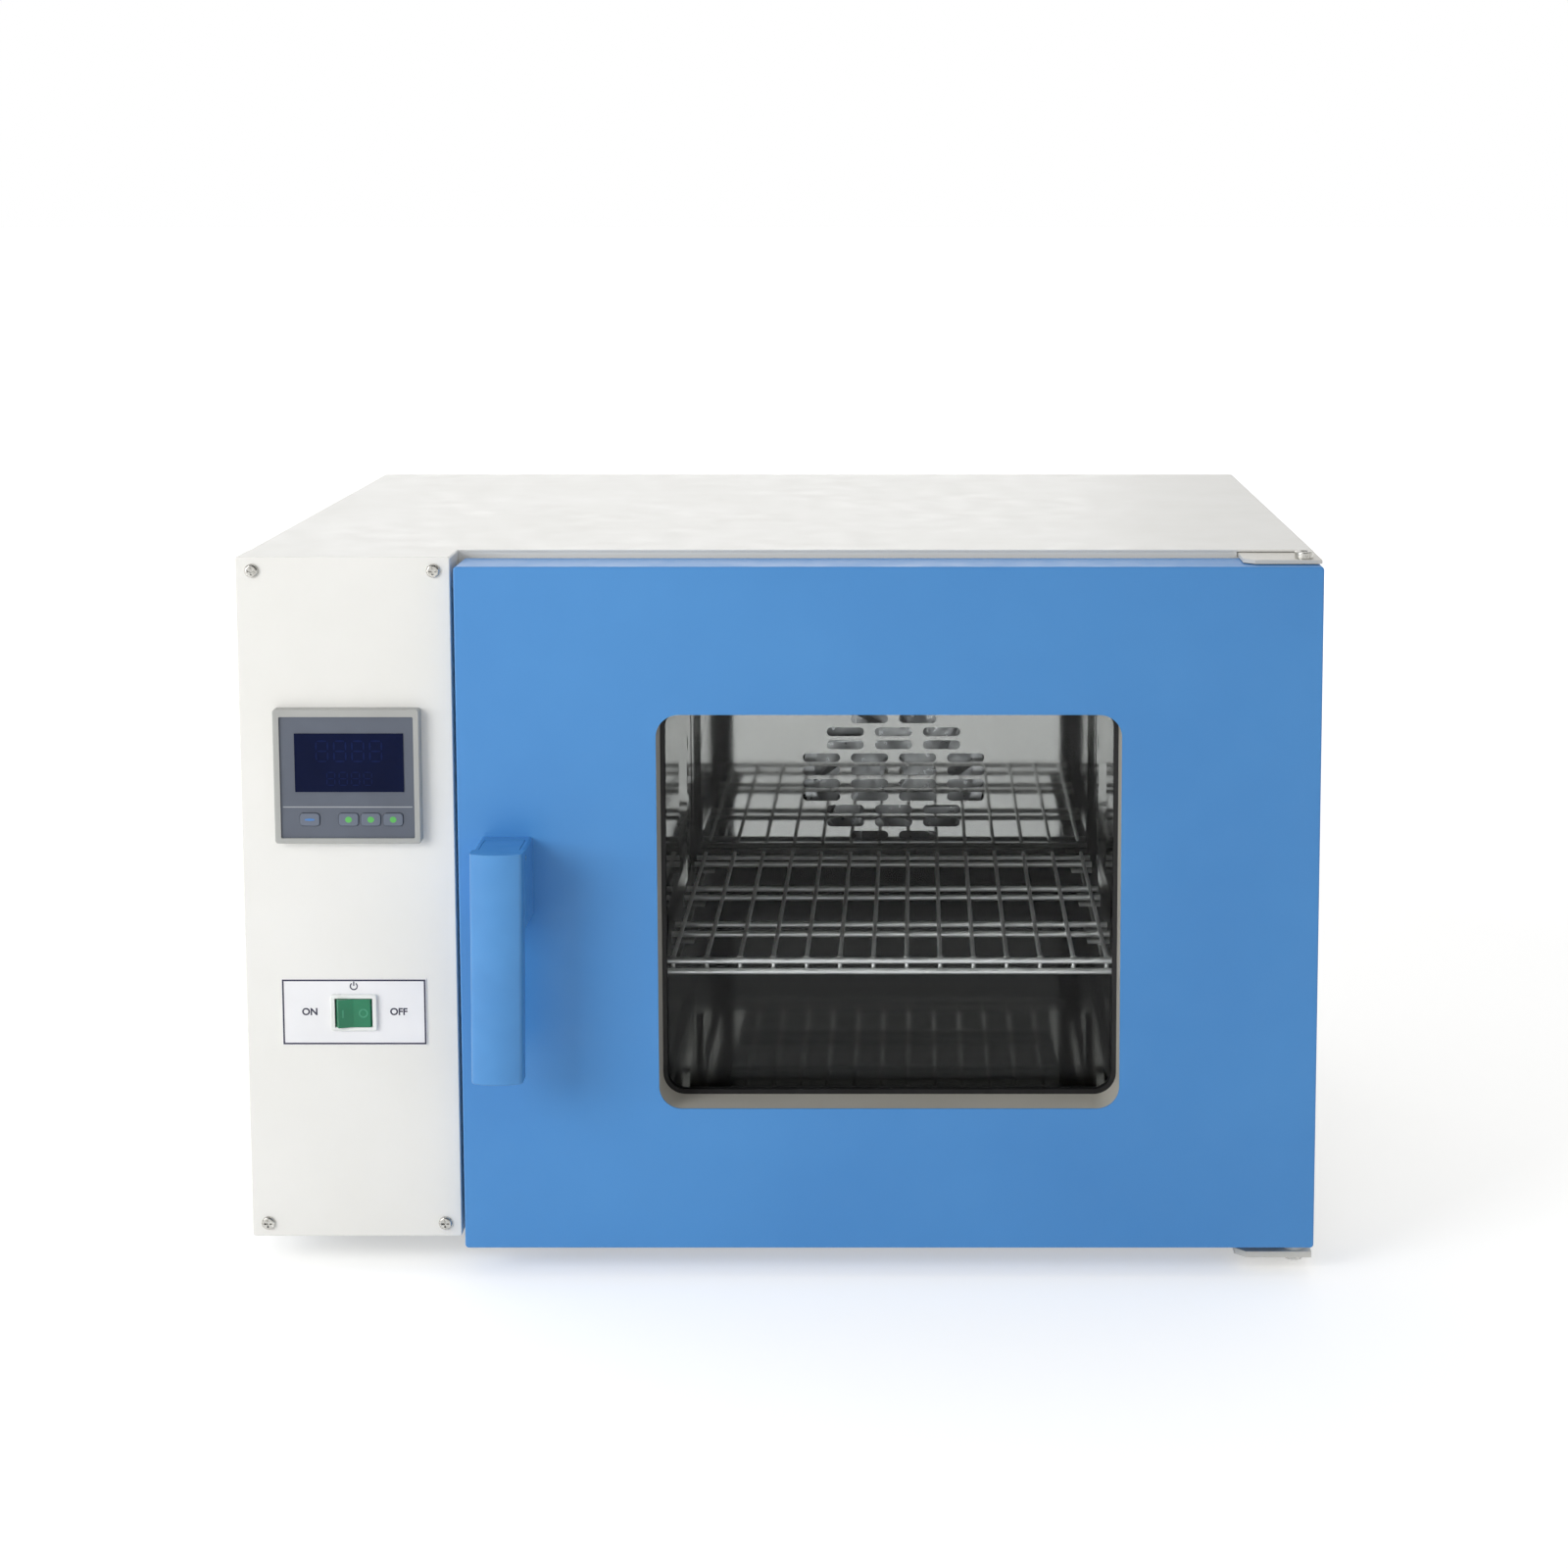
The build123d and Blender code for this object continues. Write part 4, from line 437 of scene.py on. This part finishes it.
# Power plate: a printed border, a power symbol over the switch and a word at each side of it
plateMarks = {
    "borderInset": 0.4 * mm,
    "borderWidth": 1.1 * mm,
    "wordHeight": 4.6 * mm,
    "wordSpan": 29.5 * mm,
    "symbolRise": 17.6 * mm,
    "symbolRadius": 2.3 * mm,
    "symbolWidth": 0.8 * mm,
}
plateLow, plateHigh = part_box("power_plate")
plateX, plateZ = frontCentre("power_plate")
border = bmesh.new()
addOblong(border, (plateX, plateZ), [plateHigh[i] - plateLow[i] - 2 * plateMarks["borderInset"]
                                     for i in (0, 2)])
middle = border.faces[:]
bmesh.ops.inset_region(border, faces=middle, use_boundary=True, use_even_offset=True,
                       thickness=plateMarks["borderWidth"])
bmesh.ops.delete(border, geom=middle, context="FACES_ONLY")
printOn("power_plate_border", border, "power_plate", inks["navyInk"], "cabinet")
words = bmesh.new()
addWord(words, "ON", (plateX - plateMarks["wordSpan"], plateZ), plateMarks["wordHeight"])
addWord(words, "OFF", (plateX + plateMarks["wordSpan"], plateZ), plateMarks["wordHeight"])
printOn("power_plate_words", words, "power_plate", inks["navyInk"], "cabinet")
symbol = bmesh.new()
symbolAt = (plateX, plateZ + plateMarks["symbolRise"])
addRing(symbol, symbolAt, plateMarks["symbolRadius"], plateMarks["symbolWidth"], math.radians(70))
addOblong(symbol, (symbolAt[0], symbolAt[1] + plateMarks["symbolRadius"] * 0.75),
          (plateMarks["symbolWidth"], plateMarks["symbolRadius"] * 1.3))
printOn("power_symbol", symbol, "power_plate", inks["navyInk"], "cabinet")

# Rocker: a line and a ring, moulded in
rockerMarks = {"reach": 0.27, "size": 5.2 * mm, "width": 1.0 * mm, "height": 0.12 * mm}
rockLow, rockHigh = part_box("power_rocker")
rockX, rockZ = frontCentre("power_rocker")
reach = (rockHigh[0] - rockLow[0]) * rockerMarks["reach"]
signs = bmesh.new()
addOblong(signs, (rockX - reach, rockZ), (rockerMarks["width"], rockerMarks["size"]))
addRing(signs, (rockX + reach, rockZ), rockerMarks["size"] / 2, rockerMarks["width"])
printOn("rocker_marks", signs, "power_rocker", inks["mouldedMark"], "rocker",
        rockerMarks["height"])
print("printed the controller and the power plate")

# Wire shelf: a bead of weld where each bent wire meets the upper front rail
beads = {
    "count": 14,
    "pitch": 22.7 * mm,
    "radius": 2.3 * mm,
    "behindFront": 4.0 * mm,
    "belowTop": 1.4 * mm,
    "squash": (1.15, 1.0, 0.85),
}
shelfLow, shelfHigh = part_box("wire_shelf")
welds = bmesh.new()
for i in range(beads["count"]):
    beadX = (shelfLow[0] + shelfHigh[0]) / 2 + (i - (beads["count"] - 1) / 2) * beads["pitch"]
    place = Matrix.Translation((beadX, shelfLow[1] + beads["behindFront"],
                                shelfHigh[2] - beads["belowTop"]))
    bmesh.ops.create_icosphere(welds, subdivisions=2, radius=beads["radius"],
                               matrix=place @ Matrix.Diagonal(beads["squash"] + (1,)))
for face in welds.faces:
    face.smooth = True
plainPiece("shelf_weld_beads", welds, finishes["shelf_wire"], "shelf")
print("welded the shelf")


# Studio: the photograph's view, a white paper sweep and soft boxes. The eye is tilted down a
# little, so the picture needs less shift.
studio = {
    "eye": (89.7 * mm, -2019.5 * mm, 728.1 * mm),
    "pitch": math.radians(6.3),
    "lens": 63.55,
    "shift": (-0.084, -0.19),
    "ambient": 0.5,
    "roomDimness": 0.07,
    "floorLift": (0.4, 0.75),
    "floorFade": (0.9, 3.5),
    "floorSpan": 40.0,
    "floorColour": "#f4f4f3",
    "sensor": 36,
    "clip": (0.05, 200),
}

eye = bpy.data.objects.new("camera", bpy.data.cameras.new("camera"))
bpy.context.scene.collection.objects.link(eye)
eye.location = studio["eye"]
eye.rotation_euler = (math.radians(90) - studio["pitch"], 0, 0)
eye.data.lens = studio["lens"]
eye.data.sensor_width = studio["sensor"]
eye.data.shift_x, eye.data.shift_y = studio["shift"]
eye.data.clip_start, eye.data.clip_end = studio["clip"]
bpy.context.scene.camera = eye
bpy.context.scene.view_settings.view_transform = "Standard"


def seenDirectly(tree):
    # 1 where the camera, a mirror or glass looks at it, 0 where it lights the object
    ray = addNode(tree, "ShaderNodeLightPath")
    some = addNode(tree, "ShaderNodeMath", {"operation": "MAXIMUM"},
                   {0: ray.outputs["Is Camera Ray"], 1: ray.outputs["Is Glossy Ray"]})
    return addNode(tree, "ShaderNodeMath", {"operation": "MAXIMUM"},
                   {0: some.outputs[0], 1: ray.outputs["Is Transmission Ray"]}).outputs[0]


world = bpy.data.worlds.new("studio")
bpy.context.scene.world = world
world.use_nodes = True
skyTree = world.node_tree
sky = skyTree.nodes["Background"]
sky.inputs["Color"].default_value = toLinear("#ffffff")
# The backdrop is white. The room on the camera's side is dimmer, which steel and glass mirror.
direction = addNode(skyTree, "ShaderNodeTexCoord").outputs["Generated"]
depth = addNode(skyTree, "ShaderNodeSeparateXYZ", None, {0: direction}).outputs["Y"]
room = addNode(skyTree, "ShaderNodeMapRange",
               {"interpolation_type": "SMOOTHSTEP", "From Min": -0.35, "From Max": 0.15,
                "To Min": studio["roomDimness"], "To Max": 1.0}, {"Value": depth})
ray = addNode(skyTree, "ShaderNodeLightPath")
seen = addNode(skyTree, "ShaderNodeMath", {"operation": "MAXIMUM"},
               {0: room.outputs["Result"], 1: ray.outputs["Is Camera Ray"]})
level = addNode(skyTree, "ShaderNodeMix", {2: studio["ambient"]},
                {0: seenDirectly(skyTree), 3: seen.outputs[0]})
skyTree.links.new(level.outputs[0], sky.inputs["Strength"])

# The floor keeps the object's shadow, and fades to the backdrop's white away from it.
floorMesh = bmesh.new()
bmesh.ops.create_grid(floorMesh, x_segments=1, y_segments=1, size=studio["floorSpan"])
floorData = bpy.data.meshes.new("floor")
floorMesh.to_mesh(floorData)
floorMesh.free()
floor = bpy.data.objects.new("floor", floorData)
bpy.context.scene.collection.objects.link(floor)
paper, paperTree, paperShader, paperPlace = newMaterial("whitePaperSweep")
paperShader.inputs["Base Color"].default_value = toLinear(studio["floorColour"])
paperShader.inputs["Roughness"].default_value = 0.9
paperShader.inputs["Emission Color"].default_value = toLinear("#ffffff")
away = addNode(paperTree, "ShaderNodeVectorMath", {"operation": "LENGTH"}, {0: paperPlace})
fade = addNode(paperTree, "ShaderNodeMapRange",
               {"From Min": studio["floorFade"][0], "From Max": studio["floorFade"][1],
                "To Min": studio["floorLift"][0], "To Max": studio["floorLift"][1]},
               {"Value": away.outputs["Value"]})
lift = addNode(paperTree, "ShaderNodeMath", {"operation": "MULTIPLY"},
               {0: fade.outputs["Result"], 1: seenDirectly(paperTree)})
paperTree.links.new(lift.outputs[0], paperShader.inputs["Emission Strength"])
floorData.materials.append(paper)

softBoxes = {
    "keyBox": {"at": (-1.5, -1.7, 1.0), "size": 1.0, "watts": 20, "aim": (0, -0.2, 0.25)},
    "stripBox": {"at": (-1.5, -0.9, 0.5), "size": 0.4, "watts": 2.5, "aim": (-0.2, -0.28, 0.25)},
    "fillBox": {"at": (2.4, -2.6, 1.3), "size": 2.4, "watts": 4, "aim": (0, -0.2, 0.25)},
    "topBox": {"at": (0.0, 0.3, 2.6), "size": 2.2, "watts": 7, "aim": (0, 0, 0.2)},
    "backBox": {"at": (-0.6, 3.0, 1.6), "size": 2.4, "watts": 15, "aim": (0, 0.2, 0.25)},
}
for name, box in softBoxes.items():
    lamp = bpy.data.lights.new(name, "AREA")
    lamp.shape = "SQUARE"
    lamp.size = box["size"]
    lamp.energy = box["watts"]
    holder = bpy.data.objects.new(name, lamp)
    bpy.context.scene.collection.objects.link(holder)
    holder.location = box["at"]
    towards = Vector(box["aim"]) - Vector(box["at"])
    holder.rotation_euler = towards.to_track_quat("-Z", "Y").to_euler()
print("set the camera, floor and lamps")
